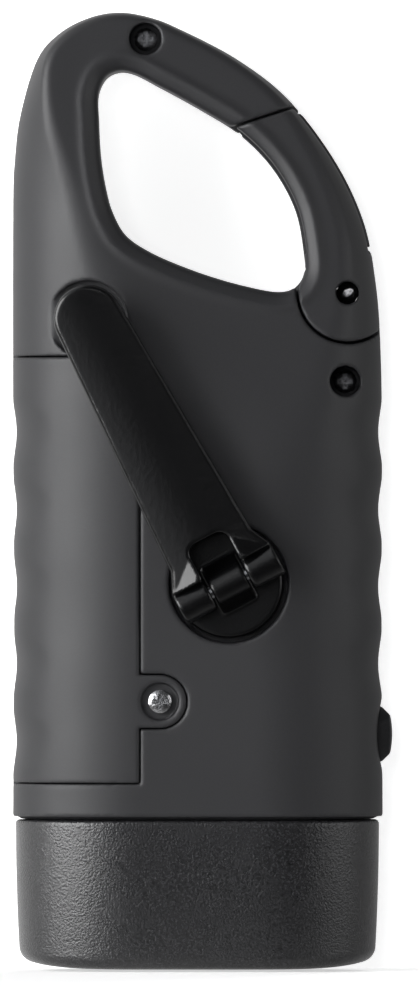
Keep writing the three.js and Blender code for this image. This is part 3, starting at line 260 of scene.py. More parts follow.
def both(a, b, radius=0.0):
    """Where two forms overlap, with the edge between them rounded."""
    if not radius:
        return np.maximum(a, b)
    u, v = np.maximum(a + radius, 0), np.maximum(b + radius, 0)
    return np.minimum(np.maximum(a, b), -radius) + np.hypot(u, v)


def either(a, b, radius=0.0):
    """Two forms joined, with the corner between them filled."""
    return -both(-a, -b, radius)


def without(a, b, radius=0.0):
    return both(a, -b, radius)


def cut(form, *parts):
    """A form without some others, each given with the rounding of its edge."""
    for part, edge in parts:
        form = without(form, part, edge)
    return form


def rounded(u, v, corner):
    """Where two lengths are both below zero, with a round corner between them."""
    return np.hypot(np.maximum(u + corner, 0), np.maximum(v + corner, 0)) - corner


def disc(x, z, centre, radius):
    return np.hypot(x - centre[0], z - centre[1]) - radius


def slab(value, low, high):
    return np.maximum(low - value, value - high)


def block(x, y, z, xs, ys, zs):
    return np.maximum(np.maximum(slab(x, *xs), slab(y, *ys)), slab(z, *zs))


def rod(x, y, z, centre, radius, ys, edge=0.0):
    """Round bar along Y."""
    return both(disc(x, z, centre, radius), slab(y, *ys), edge)


def outline(points, u, v):
    """Signed distance to a closed outline of points, in the plane of u and v."""
    nearest = np.full(np.broadcast(u, v).shape, 1e6, np.float32)
    within = np.zeros(nearest.shape, bool)
    for (ax, ay), (bx, by) in zip(points, np.roll(points, -1, axis=0)):
        ex, ey = bx - ax, by - ay
        t = np.clip(((u - ax) * ex + (v - ay) * ey) / (ex * ex + ey * ey), 0, 1)
        nearest = np.minimum(nearest, (u - ax - t * ex) ** 2 + (v - ay - t * ey) ** 2)
        if ay != by:
            within ^= ((ay > v) != (by > v)) & (u < ax + (v - ay) * ex / ey)
    return np.sqrt(nearest) * np.where(within, -1, 1).astype(np.float32)


def smooth_curve(points, closed=False, steps=12, even=True):
    """Catmull-Rom curve through points; its knots are evenly spaced, or by the root of each chord."""
    points = np.asarray(points, float)
    count = len(points)
    spans = count if closed else count - 1
    out = []
    for i in range(spans):
        at = [(i + k) % count if closed else min(max(i + k, 0), count - 1) for k in (-1, 0, 1, 2)]
        p0, p1, p2, p3 = points[at]
        d0, d1, d2 = [1.0 if even else max(np.linalg.norm(b - a), 1e-4) ** 0.5
                      for a, b in ((p0, p1), (p1, p2), (p2, p3))]
        m1 = ((p1 - p0) / d0 - (p2 - p0) / (d0 + d1) + (p2 - p1) / d1) * d1
        m2 = ((p2 - p1) / d1 - (p3 - p1) / (d1 + d2) + (p3 - p2) / d2) * d1
        for t in np.arange(steps) / steps:
            out.append((2 * t ** 3 - 3 * t ** 2 + 1) * p1 + (t ** 3 - 2 * t ** 2 + t) * m1
                       + (3 * t ** 2 - 2 * t ** 3) * p2 + (t ** 3 - t ** 2) * m2)
    if not closed:
        out.append(points[-1])
    return np.array(out)


def on_body(shares):
    return np.asarray(shares) * (HALF_WIDTH, HEIGHT)


BELOW = -40.0
FAR = 9.0
left_points, right_points = on_body(LEFT_EDGE), on_body(RIGHT_EDGE)
body_curve = smooth_curve(np.concatenate([[(-HALF_WIDTH, 0)], left_points, right_points[::-1],
                                          [(right_points[0][0], 0)]]))
body_curve = np.concatenate([[(-HALF_WIDTH, BELOW)], body_curve, [(right_points[0][0], BELOW)]])
eye_curve = smooth_curve(on_body(EYE), closed=True, even=False)
gate_pivot = on_body(GATE_PIVOT)


def section(edge, y, flank=FLANK):
    """Flat front and back with superellipse flanks, from the distance to the body's outline."""
    u = np.maximum(1 + edge / flank, 0)
    v = np.abs(y) / HALF_DEPTH
    grown = u ** POWER + v ** POWER + 1e-4
    size = grown ** (1 / POWER)
    slope = np.sqrt((u ** (POWER - 1) / flank) ** 2 + (v ** (POWER - 1) / HALF_DEPTH) ** 2)
    return np.clip((size - 1) / (slope * size / grown + 1e-4), -FAR, FAR)


def straight_section(x, y):
    """The section at the foot of the body, where its sides are straight."""
    return section(np.abs(x) - HALF_WIDTH, y)


def body_section(x, y, z):
    """The body's section at every level: its flanks get narrower towards the crown, with a slight waist."""
    level, width, depth = WAIST
    climb = np.clip((z - CROWN_START) / (HEIGHT - CROWN_START), 0, 1)
    flank = FLANK + (FLANK_AT_CROWN - FLANK) * climb * climb * (3 - 2 * climb)
    edge = np.maximum(outline(body_curve, x, z), z - HEIGHT)
    return section(edge + depth * np.exp(-((z - level) / width) ** 2), y, flank)


def facets(x, y, z):
    """The flat planes that thin the top, front and back."""
    reach = math.sqrt(1 + FACET_RISE ** 2 + FACET_LEAN ** 2)
    return (np.abs(y) + FACET_RISE * (z - FACET_START) + FACET_LEAN * x - HALF_DEPTH) / reach


def grips(x, y, z):
    """Finger grooves down both sides, each part of a ring round the body."""
    grooves = None
    for side, count in GRIP_COUNTS.items():
        nearest = np.clip(np.round((GRIP_TOP - z) / GRIP_PITCH), 0, count - 1)
        off = z - (GRIP_TOP - nearest * GRIP_PITCH)
        around = np.hypot(x - side * (HALF_WIDTH - GRIP_DEPTH - GRIP_WRAP), y)
        ring = np.hypot(around - GRIP_WRAP - GRIP_TUBE, off) - GRIP_TUBE
        ring = np.maximum(ring, HALF_WIDTH / 2 - side * x)
        grooves = ring if grooves is None else np.minimum(grooves, ring)
    return grooves


def carcass(x, y, z):
    """Outer form of the body, with the carabiner's ring and the low ridge round its eye."""
    eye = outline(eye_curve, x, z)
    away, width, height = RIDGE
    ridge = height * np.exp(-((eye - away) / width) ** 2)
    form = both(body_section(x, y, z), facets(x, y, z) - ridge, EDGE_FACET)
    form = without(form, eye, EDGE_EYE)
    return without(form, grips(x, y, z), EDGE_GRIP)


def cavity(x, y, z, wall):
    """Hollow of the shells, one wall thickness in."""
    form = np.maximum(body_section(x, y, z), facets(x, y, z)) + wall
    form = np.maximum(form, slab(z, SEAM_TOP + wall, CAVITY_TOP))
    form = without(form, disc(x, z, gate_pivot, GATE_DISC + GATE_GAP + wall))
    return without(form, np.maximum(disc(x, z, TIP, TIP_RECESS + wall), y))


def gate_region(x, y, z, extra):
    """Beyond the pivot disc, up to the slanted cut at the nose, which laps half way through."""
    z = z + LAP * np.clip(y / LAP_SLOPE, -1, 1) * np.clip((z - gate_pivot[1]) / GATE_DISC - 1, 0, 1)
    (inner_x, inner_z), (outer_x, outer_z) = on_body(GATE_CUT)
    slope = (outer_z - inner_z) / (outer_x - inner_x)
    margin = GATE_DISC / 3
    right = HALF_WIDTH + 5
    start = (inner_x - margin, inner_z - slope * margin + extra)
    top = outer_z + slope * margin + extra
    points = [tuple(gate_pivot), (right, gate_pivot[1] + (right - gate_pivot[0]) * 1.2), (right, top),
              (outer_x + margin, top), start, (start[0], start[1] - GATE_DISC / 5),
              (gate_pivot[0] - GATE_DISC * 1.3, gate_pivot[1] + GATE_DISC * 0.75)]
    return outline(points, x, z)


def ear(x, z, margin):
    """Tab of the door that carries its screw."""
    start = DOOR_EDGE - margin - FIT - x
    across = np.maximum(np.maximum(x - EAR[0], start), np.abs(z - EAR[1]) - EAR_RADIUS - margin)
    return np.minimum(across, disc(x, z, EAR, EAR_RADIUS + margin))


def door_slab(x, z, margin):
    return np.maximum(x - DOOR_EDGE - margin, slab(z, DOOR_BOTTOM - margin, DOOR_TOP + margin))


def shell_base(x, y, z):
    """Both shells as one: the hollow body with its neck, without the parting."""
    neck = straight_section(x, y)
    outside = np.maximum(carcass(x, y, z), SEAM_TOP - z)
    outside = both(outside, SEAM_TOP - z, EDGE_SOFT)
    collar = np.maximum(neck + NECK_INSET, slab(z, NECK_BOTTOM, SEAM_TOP + WALL))
    groove = np.maximum(neck + GROOVE_INSET, slab(z, HEAD_SEAM + GROOVE_GAP, SEAM_TOP + WALL))
    bore = np.maximum(neck + NECK_INSET + NECK_WALL, slab(z, 0, SEAM_TOP + WALL + 1))
    return np.minimum(np.minimum(outside, collar), groove), bore


def button_slot(y, z, margin):
    """Slot with round ends, for the button."""
    straight = BUTTON_HALF - BUTTON_RADIUS
    return np.hypot(y, np.maximum(np.abs(z - BUTTON_Z) - straight, 0)) - BUTTON_RADIUS - margin


def shared_cuts(form, x, y, z):
    """What is cut from both shells: screw wells and their holes, the button's slot and dish."""
    for wx, wz, radius in WELLS:
        form = without(form, np.maximum(disc(x, z, (wx, wz), radius), y - WELL_FLOOR), EDGE_SOFT)
        form = without(form, rod(x, y, z, (wx, wz), SCREW_HOLE, (BEFORE, SCREW_END)))
    slot = np.maximum(button_slot(y, z, FIT), HALF_WIDTH / 2 - x)
    form = without(form, np.sqrt((x - HALF_WIDTH - DISH + BUTTON_PROUD / 2) ** 2 + (y / DISH_STRETCH) ** 2
                                 + (z - BUTTON_Z) ** 2) - DISH, 0.5)
    return without(form, slot, EDGE_SOFT)


def side_boss(x, z):
    return disc(x, z, WELLS[1][:2], WELLS[1][2] + WELL_WALL)


def front_shell(x, y, z):
    solid, bore = shell_base(x, y, z)
    cup = np.maximum(disc(x, z, HUB, HUB_HOLE + HUB_CUP_WALL),
                     slab(y, -HALF_DEPTH, HUB_CUP_FLOOR + HUB_CUP_WALL))
    ear_boss = np.maximum(ear(x, z, WELL_WALL), slab(y, *EAR_BOSS))
    root_x = DOOR_EDGE + DOOR_ROOT
    lip = block(x, y, z, (DOOR_EDGE - DOOR_LAP, root_x), DOOR_LIP,
                (DOOR_BOTTOM + DOOR_LAP, DOOR_TOP - DOOR_LAP))
    root = block(x, y, z, (DOOR_EDGE + FIT, root_x), (EAR_BOSS[0], DOOR_LIP[1]),
                 (DOOR_BOTTOM - DOOR_LAP, DOOR_TOP + DOOR_LAP))
    ribs = (cup, ear_boss, lip, root, side_boss(x, z))
    hollow = cut(cavity(x, y, z, WALL), *[(rib, 0) for rib in ribs])
    form = cut(solid, (hollow, 0), (bore, 0))
    form = both(form, y + PART_GAP, EDGE_SOFT)
    form = cut(form, (without(np.maximum(door_slab(x, z, DOOR_GAP), y), lip), EDGE_DOOR),
               (np.maximum(ear(x, z, DOOR_GAP), y - EAR_FLOOR - FIT), EDGE_DOOR),
               (rod(x, y, z, EAR, SCREW_HOLE, (BEFORE, EAR_BACK)), 0),
               (rod(x, y, z, HUB, BUSH_HOLE, (BUSH_HOLE_FRONT, 0)), 0),
               (rod(x, y, z, HUB, HUB_HOLE, (BEFORE, HUB_CUP_FLOOR)), EDGE_SOFT),
               (rod(x, y, z, TIP, TIP_RECESS, (BEFORE, TIP_FLOOR)), EDGE_SOFT),
               (disc(x, z, gate_pivot, GATE_DISC + GATE_GAP), EDGE_SOFT),
               (gate_region(x, y, z, GATE_GAP), EDGE_SOFT))
    return shared_cuts(form, x, y, z)


def back_shell(x, y, z):
    solid, bore = shell_base(x, y, z)
    ribs = [rod(x, y, z, place, PILLAR, (PLATE_BACK + FIT, BEYOND)) for place in PILLARS]
    for place in BOARD_POSTS:
        ribs += [rod(x, y, z, place, BOARD_PEG, (BOARD_FACES[0], BEYOND)),
                 rod(x, y, z, place, PILLAR, (BOARD_FACES[1], BEYOND))]
    ribs += [rod(x, y, z, place, radius, (BOSS_FACE, BEYOND)) for place, radius, hole in BOSSES]
    ribs += [side_boss(x, z)]
    hollow = cut(cavity(x, y, z, WALL), *[(rib, 0) for rib in ribs])
    form = cut(solid, (hollow, 0), (bore, 0))
    tongue = np.maximum(TONGUE_FIT - PART_GAP - y, solid + TONGUE_INSET)
    tongue = without(tongue, disc(x, z, gate_pivot, GATE_DISC + GATE_GAP + WALL))
    form = both(form, np.minimum(PART_GAP - y, tongue), EDGE_SOFT)
    bores = [rod(x, y, z, place, hole, (0, SHAFT_END + FIT)) for place, radius, hole in BOSSES]
    bores += [rod(x, y, z, place, SCREW_HOLE, (0, PILLAR_BORE)) for place in PILLARS]
    region = without(gate_region(x, y, z, GATE_GAP), disc(x, z, gate_pivot, GATE_DISC))
    pocket = rod(x, y, z, gate_pivot, SPRING_POCKET[0], (BEFORE, SPRING_POCKET[1]))
    form = cut(form, *[(hole, 0) for hole in bores], (region, EDGE_SOFT), (pocket, 0),
               (disc(x, z, gate_pivot, PIN_HOLE), 0))
    return shared_cuts(form, x, y, z)


def battery_door(x, y, z):
    solid = carcass(x, y, z)
    skin = without(solid, cavity(x, y, z, WALL))
    panel = both(skin, np.maximum(door_slab(x, z, 0), y + PART_GAP), EDGE_DOOR)
    tab = both(np.maximum(solid, y - EAR_FLOOR), ear(x, z, 0), EDGE_DOOR)
    form = np.minimum(panel, tab)
    form = without(form, rod(x, y, z, EAR, SEAT, (BEFORE, SEAT_FLOOR)), EDGE_SOFT)
    return without(form, rod(x, y, z, EAR, SCREW_HOLE, (BEFORE, 0)))


def gate(x, y, z):
    cheek_room = np.maximum(disc(x, z, gate_pivot, GATE_DISC + GATE_GAP), -PART_GAP - y)
    arm = without(gate_region(x, y, z, 0), cheek_room)
    knuckle = np.maximum(disc(x, z, gate_pivot, GATE_DISC), y + PART_GAP)
    form = both(carcass(x, y, z), np.minimum(arm, knuckle), EDGE_SOFT)
    form = without(form, disc(x, z, gate_pivot, PIN_HOLE))
    lip = np.minimum(outline(eye_curve, x, z), -outline(body_curve, x, z)) - GATE_LIP
    form = without(form, np.maximum(lip, np.maximum(GATE_LIP_BOTTOM - z, y)), 0.1)
    sunk = facets(x, np.minimum(y, 0), z) + PIN_RECESS_DEPTH
    return without(form, np.maximum(disc(x, z, gate_pivot, PIN_RECESS), np.maximum(-sunk, y)), EDGE_SOFT)


def window(x, y):
    """The lamp head's window, with round corners."""
    return rounded(np.abs(x) - WINDOW_HALF[0], np.abs(y) - WINDOW_HALF[1], WINDOW_CORNER)


def head_bezel(x, y, z):
    form = straight_section(x, y) + HEAD_INSET + HEAD_TAPER * (1 - np.clip(z / HEAD_SEAM, 0, 1)) ** 2
    rim = HEAD_ARCH * (np.abs(x) / HALF_WIDTH) ** 6 - z
    outer = both(both(form, rim, HEAD_ROUND), z - HEAD_SEAM, EDGE_SOFT)
    inner = np.maximum(form + HEAD_WALL, WINDOW_LIP - z)
    return without(without(outer, inner), window(x, y), 0.5)


# The crank's pieces are drawn with the arm pointing up from its hinge, as x across, y deep, z along.

def arm_outline(inset):
    """Top view of the arm: its knuckles, a short flare, and a long taper to the round tip."""
    knuckle, root, tip = KNUCKLE - inset, ARM_ROOT - inset, ARM_TIP - inset
    turns = np.linspace(0, math.pi, 25)
    cap = [(math.cos(a) * tip, CRANK_RADIUS + math.sin(a) * tip) for a in turns]
    right = [(knuckle, inset - ARM_BARREL), (knuckle, BARREL), (root, ARM_ROOT_LENGTH)]
    return right + cap + [(-a, b) for a, b in reversed(right)]


def past_foot(x, z):
    """Distance from the foot of the rise beside the slot, below zero towards the barrel."""
    (ax, az), (bx, bz) = RISE_FOOT
    along = np.maximum(np.abs(x) - ax, 0) * (az - bz) + (z - az) * (bx - ax)
    return along / math.hypot(bx - ax, bz - az)


def crank_arm(x, y, z):
    above = ARM_TOP - 2
    profile = [(HINGE_Y + BARREL, 0), ARM_HEEL, (ARM_UNDER, ARM_SKIRT_END), (ARM_UNDER, ARM_PAST),
               (above, ARM_PAST), (above, BARREL), (HINGE_Y, BARREL)]
    plate = both(outline(arm_outline(ARM_CORNER), x, z) - ARM_CORNER, outline(profile, y, z), 0.3)
    sink = ARM_SINK * np.clip((ARM_SINK_END - z) / (ARM_SINK_END - ARM_SLOT), 0, 1)
    top = ARM_TOP + sink + ARM_CROWN * x ** 2
    rise = np.maximum(top + RISE_SLOPE * past_foot(x, z), ARM_TOP) - y
    plate = np.minimum(both(plate, top - y, 0.5), both(plate, rise, 0.15))
    barrel = both(np.hypot(y - HINGE_Y, z) - ARM_BARREL, np.abs(x) - KNUCKLE, 0.25)
    form = either(plate, barrel, 0.15)
    inner = np.maximum(outline(arm_outline(ARM_SKIRT), x, z), ARM_UNDER - y)
    form = without(form, np.maximum(inner, ARM_SLOT + ARM_SKIRT - z), 0.2)
    slot_half = LUG_HALF_WIDTH + FIT
    form = without(form, rounded(np.abs(x) - slot_half, z - ARM_SLOT, SLOT_CORNER), 0.45)
    tip = (0, CRANK_RADIUS)
    form = either(form, rod(x, y, z, tip, POST, (ARM_UNDER - 0.8, POST_END)), 0.3)
    bore = np.maximum(np.hypot(y - HINGE_Y, z) - HINGE_BORE, np.abs(x) - KNUCKLE + FIT / 2)
    form = without(form, bore)
    return without(form, rod(x, y, z, tip, POST_BORE, (KNOB_TOP, 0)))


def crank_hub(x, y, z):
    centre = (0, 0)
    disc_form = rod(x, y, z, centre, HUB_DISC, (HUB_FACE, HUB_BACK), 0.5)
    shaft = rod(x, y, z, centre, HUB_SHAFT, (HUB_BACK - 1, SHAFT_END), 0.3)
    shoulder = BARREL * 0.95
    turns = np.linspace(-math.pi / 2, math.pi / 2, 17)
    barrel = [(HINGE_Y - math.cos(a) * BARREL, math.sin(a) * BARREL) for a in turns]
    profile = [(HUB_FACE + 0.5, -LUG_HALF_LENGTH), (HUB_FACE, -LUG_HALF_LENGTH), (HINGE_Y, -shoulder)]
    profile += barrel + [(HUB_FACE, LUG_HALF_LENGTH), (HUB_FACE + 0.5, LUG_HALF_LENGTH)]
    lug = both(outline(profile, y, z), np.abs(x) - LUG_HALF_WIDTH, 0.35)
    form = np.minimum(either(disc_form, lug, 0.25), shaft)
    return without(form, np.hypot(y - HINGE_Y, z) - HINGE_BORE)


def crank_knob(x, y, z):
    centre = (0, CRANK_RADIUS)
    form = rod(x, y, z, centre, KNOB, (KNOB_TOP, KNOB_BOTTOM), 0.6)
    form = without(form, rod(x, y, z, centre, KNOB_BORE, (BEFORE, 0)))
    return without(form, rod(x, y, z, centre, KNOB_DISH, (KNOB_BOTTOM - 1, 0)), 0.15)


def power_button(x, y, z):
    """Shallow dome with sloped ends and a small step, over a flange and a stem."""
    flange_x = drawn_box("power_button")[0][0] + BUTTON_STEM
    up = np.abs(z - BUTTON_Z)
    top = HALF_WIDTH + BUTTON_PROUD
    dome = x - top + BUTTON_DOME[1] * up ** 2 + BUTTON_DOME[0] * y ** 2
    slope = ((x - top + BUTTON_CHAMFER[0]) + (up - BUTTON_HALF + BUTTON_CHAMFER[1])) / math.sqrt(2)
    cap = both(both(np.maximum(button_slot(y, z, 0), flange_x - x), dome, 0.12), slope, 0.06)
    margin, thick = BUTTON_FLANGE
    flange = np.maximum(button_slot(y, z, margin), slab(x, flange_x, flange_x + thick))
    stem = np.maximum(np.hypot(y, z - BUTTON_Z) - BUTTON_STEM,
                      slab(x, flange_x - BUTTON_STEM, flange_x + thick))
    return np.minimum(np.minimum(cap, flange), stem)


def gate_pin(x, y, z):
    """Rivet of the gate, its end peened to a slanted oval."""
    face = drawn_box("gate_pin")[0][1]
    px, pz = x - gate_pivot[0], z - gate_pivot[1]
    along = px * math.cos(PIN_TURN) + pz * math.sin(PIN_TURN)
    across = pz * math.cos(PIN_TURN) - px * math.sin(PIN_TURN)
    out = np.hypot(px, pz)
    end = face + PIN_TIP + PIN_FALL * np.maximum(out - PIN_OVAL[1], 0)
    shaft = np.maximum(out - PIN, np.maximum(end - y, y + face))
    oval = (np.hypot(along / PIN_OVAL[0], across / PIN_OVAL[1]) - 1) * PIN_OVAL[1]
    slant = (face - y - PIN_SLANT[0] * px - PIN_SLANT[1] * pz + PIN_CUT) / math.hypot(1, *PIN_SLANT)
    return either(shaft, both(np.maximum(oval, slab(y, face, 0)), slant, 0.1))


def reflector(x, y, z):
    """Block with three dished cups."""
    form = both(window(x, y), slab(z, *REFLECTOR), 0.2)
    rise = np.clip((z - REFLECTOR[0]) / (REFLECTOR[1] - REFLECTOR[0]), 0, 1)
    radius = CUP_MOUTH + (CUP_THROAT - CUP_MOUTH) * rise ** 2
    for cup in CUPS:
        form = without(form, np.hypot(x - cup, y) - radius, 0.12)
    return form


def led(x, y, z):
    """Round lamp with a domed end and a flange, at the middle."""
    barrel = np.hypot(np.hypot(x, y), np.minimum(z - LED_TIP - LED, 0)) - LED
    flange = both(np.hypot(x, y) - LED_FLANGE, LED_SEAT - z, 0.15)
    return np.maximum(np.minimum(barrel, flange), z - LED_BACK)


# Meshes

CELL_EDGES = [(a, b) for a in range(8) for b in range(8) if a < b and bin(a ^ b).count("1") == 1]
CORNERS = np.array([((k >> 2) & 1, (k >> 1) & 1, k & 1) for k in range(8)])


def skin_of(values, origin, step):
    """Points and four-sided faces of a sampled field's zero level, one point for each mixed cell."""
    inside = values < 0
    shape = np.array(values.shape) - 1
    windows = [inside[a:a + shape[0], b:b + shape[1], c:c + shape[2]] for a, b, c in CORNERS]
    mixed = np.logical_or.reduce(windows) & ~np.logical_and.reduce(windows)
    cells = np.argwhere(mixed)
    corner = np.stack([values[tuple((cells + c).T)] for c in CORNERS], axis=1)
    total, count = np.zeros((len(cells), 3)), np.zeros((len(cells), 1))
    for a, b in CELL_EDGES:
        va, vb = corner[:, a], corner[:, b]
        crossed = (va < 0) != (vb < 0)
        t = np.where(crossed, va / np.where(crossed, va - vb, 1), 0)[:, None]
        total += (CORNERS[a] + t * (CORNERS[b] - CORNERS[a])) * crossed[:, None]
        count += crossed[:, None]
    points = origin + step * (cells + total / count)
    number = np.full(shape, -1, np.int64)
    number[tuple(cells.T)] = np.arange(len(cells))
    faces = []
    for axis in range(3):
        low = np.take(inside, range(0, inside.shape[axis] - 1), axis=axis)
        high = np.take(inside, range(1, inside.shape[axis]), axis=axis)
        spots = np.argwhere(low != high)
        outward = low[tuple(spots.T)]
        u, v = [k for k in range(3) if k != axis]
        around = []
        for du, dv in ((-1, -1), (0, -1), (0, 0), (-1, 0)):
            near = spots.copy()
            near[:, u] += du
            near[:, v] += dv
            around.append(number[tuple(near.T)])
        quads = np.stack(around, axis=1)
        flip = outward if axis == 1 else ~outward
        quads[flip] = quads[flip][:, ::-1]
        faces.append(quads)
    return points, np.concatenate(faces)


def new_mesh(name, points, faces, smooth=True):
    """Mesh object from points in metres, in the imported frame, and faces of one corner count."""
    mesh = bpy.data.meshes.new(name)
    mesh.vertices.add(len(points))
    mesh.vertices.foreach_set("co", np.asarray(points, np.float32).ravel())
    corners = faces.shape[1]
    mesh.loops.add(faces.size)
    mesh.loops.foreach_set("vertex_index", faces.astype(np.int32).ravel())
    mesh.polygons.add(len(faces))
    mesh.polygons.foreach_set("loop_start", np.arange(0, faces.size, corners, dtype=np.int32))
    mesh.update(calc_edges=True)
    mesh.validate()
    if smooth:
        mesh.shade_smooth()
    obj = bpy.data.objects.new(name, mesh)
    bpy.context.scene.collection.objects.link(obj)
    return obj


def packed(points):
    """From the drawing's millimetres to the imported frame."""
    return points / 1000 + SHIFT


def stowed(points):
    """From the crank's own drawing to the body's."""
    c, s = math.cos(STOW), math.sin(STOW)
    x, y, z = points.T
    return np.stack([HUB[0] + x * c - z * s, y, HUB[1] + x * s + z * c], axis=1)


def on_crank(points):
    """From the crank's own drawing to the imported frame."""
    return packed(stowed(points))


def settle(piece):
    """Gives a piece the mesh that its modifiers make."""
    bpy.context.view_layer.update()
    graph = bpy.context.evaluated_depsgraph_get()
    mesh = bpy.data.meshes.new_from_object(piece.evaluated_get(graph))
    piece.modifiers.clear()
    piece.data = mesh
    return mesh


def moulded(name, form, low, high, step, place, keep):
    """Piece made of a form's zero level, sampled inside a box, with a share of its faces kept."""
    step = step * 1
    low = np.array(low) - 2 * step
    counts = np.ceil((np.array(high) - low) / step).astype(int) + 3
    x, y, z = [(low[k] + step * np.arange(counts[k], dtype=np.float32)).reshape(
        [-1 if k == axis else 1 for axis in range(3)]).astype(np.float32) for k in range(3)]
    values = np.broadcast_to(form(x, y, z), counts).astype(np.float32)
    points, faces = skin_of(values, low, step)
    piece = new_mesh(name, place(points), faces)
    if keep < 1:
        thin = piece.modifiers.new("thin", "DECIMATE")
        thin.ratio = keep
        settle(piece).shade_smooth()
    return piece


# Geometry Nodes

def add(tree, kind, settings=None, **links):
    """Adds a node. An input is named with underscores for spaces, or by number as i0, i1.

    An output socket, or a node for its first output, is linked. Any other value is set.
    """
    node = tree.nodes.new(kind)
    for key, value in (settings or {}).items():
        setattr(node, key, value)
    for key, value in links.items():
        slot = int(key[1:]) if key[1:].isdigit() else key.replace("_", " ")
        socket = node.inputs[slot]
        if isinstance(value, bpy.types.Node):
            value = value.outputs[0]
        if isinstance(value, bpy.types.NodeSocket):
            tree.links.new(value, socket)
        else:
            socket.default_value = value
    return node


def calc(tree, word, *values):
    """Math node for a number worked out from up to three others."""
    return add(tree, "ShaderNodeMath", {"operation": word}, **{f"i{k}": v for k, v in enumerate(values)})


def ramp(tree, value, start, end, low=0.0, high=1.0):
    """Node that turns a range of a value into another, level past its ends."""
    return add(tree, "ShaderNodeMapRange", Value=value, From_Min=start, From_Max=end,
               To_Min=low, To_Max=high)


def new_form(name, sizes):
    """Empty Geometry Nodes tree with named number inputs and a finish."""
    tree = bpy.data.node_groups.new(name, "GeometryNodeTree")
    for label in sizes:
        tree.interface.new_socket(label, in_out="INPUT", socket_type="NodeSocketFloat")
    tree.interface.new_socket("Finish", in_out="INPUT", socket_type="NodeSocketMaterial")
    tree.interface.new_socket("Geometry", in_out="OUTPUT", socket_type="NodeSocketGeometry")
    return tree, tree.nodes.new("NodeGroupInput").outputs


def finish_form(tree, shape, finish, crease):
    """Ends a tree: edges sharper than the crease stay sharp, instances are made real, the finish is set."""
    angle = add(tree, "GeometryNodeInputMeshEdgeAngle")
    sharp = add(tree, "FunctionNodeCompare", {"operation": "GREATER_THAN"}, i0=angle, i1=crease)
    round_faces = add(tree, "GeometryNodeSetShadeSmooth", {"domain": "FACE"}, Geometry=shape)
    edges = add(tree, "GeometryNodeSetShadeSmooth", {"domain": "EDGE"}, Geometry=round_faces,
                Selection=sharp, Shade_Smooth=False)
    whole = add(tree, "GeometryNodeRealizeInstances", Geometry=edges)
    done = add(tree, "GeometryNodeSetMaterial", Geometry=whole, Material=finish)
    add(tree, "NodeGroupOutput", Geometry=done)
    return tree


SCREW_SIZES = ["Head Radius", "Head Height", "Recess", "Shank Radius", "Length", "Pitch"]
CREASE = math.radians(30)
WIRE_CREASE = math.radians(50)


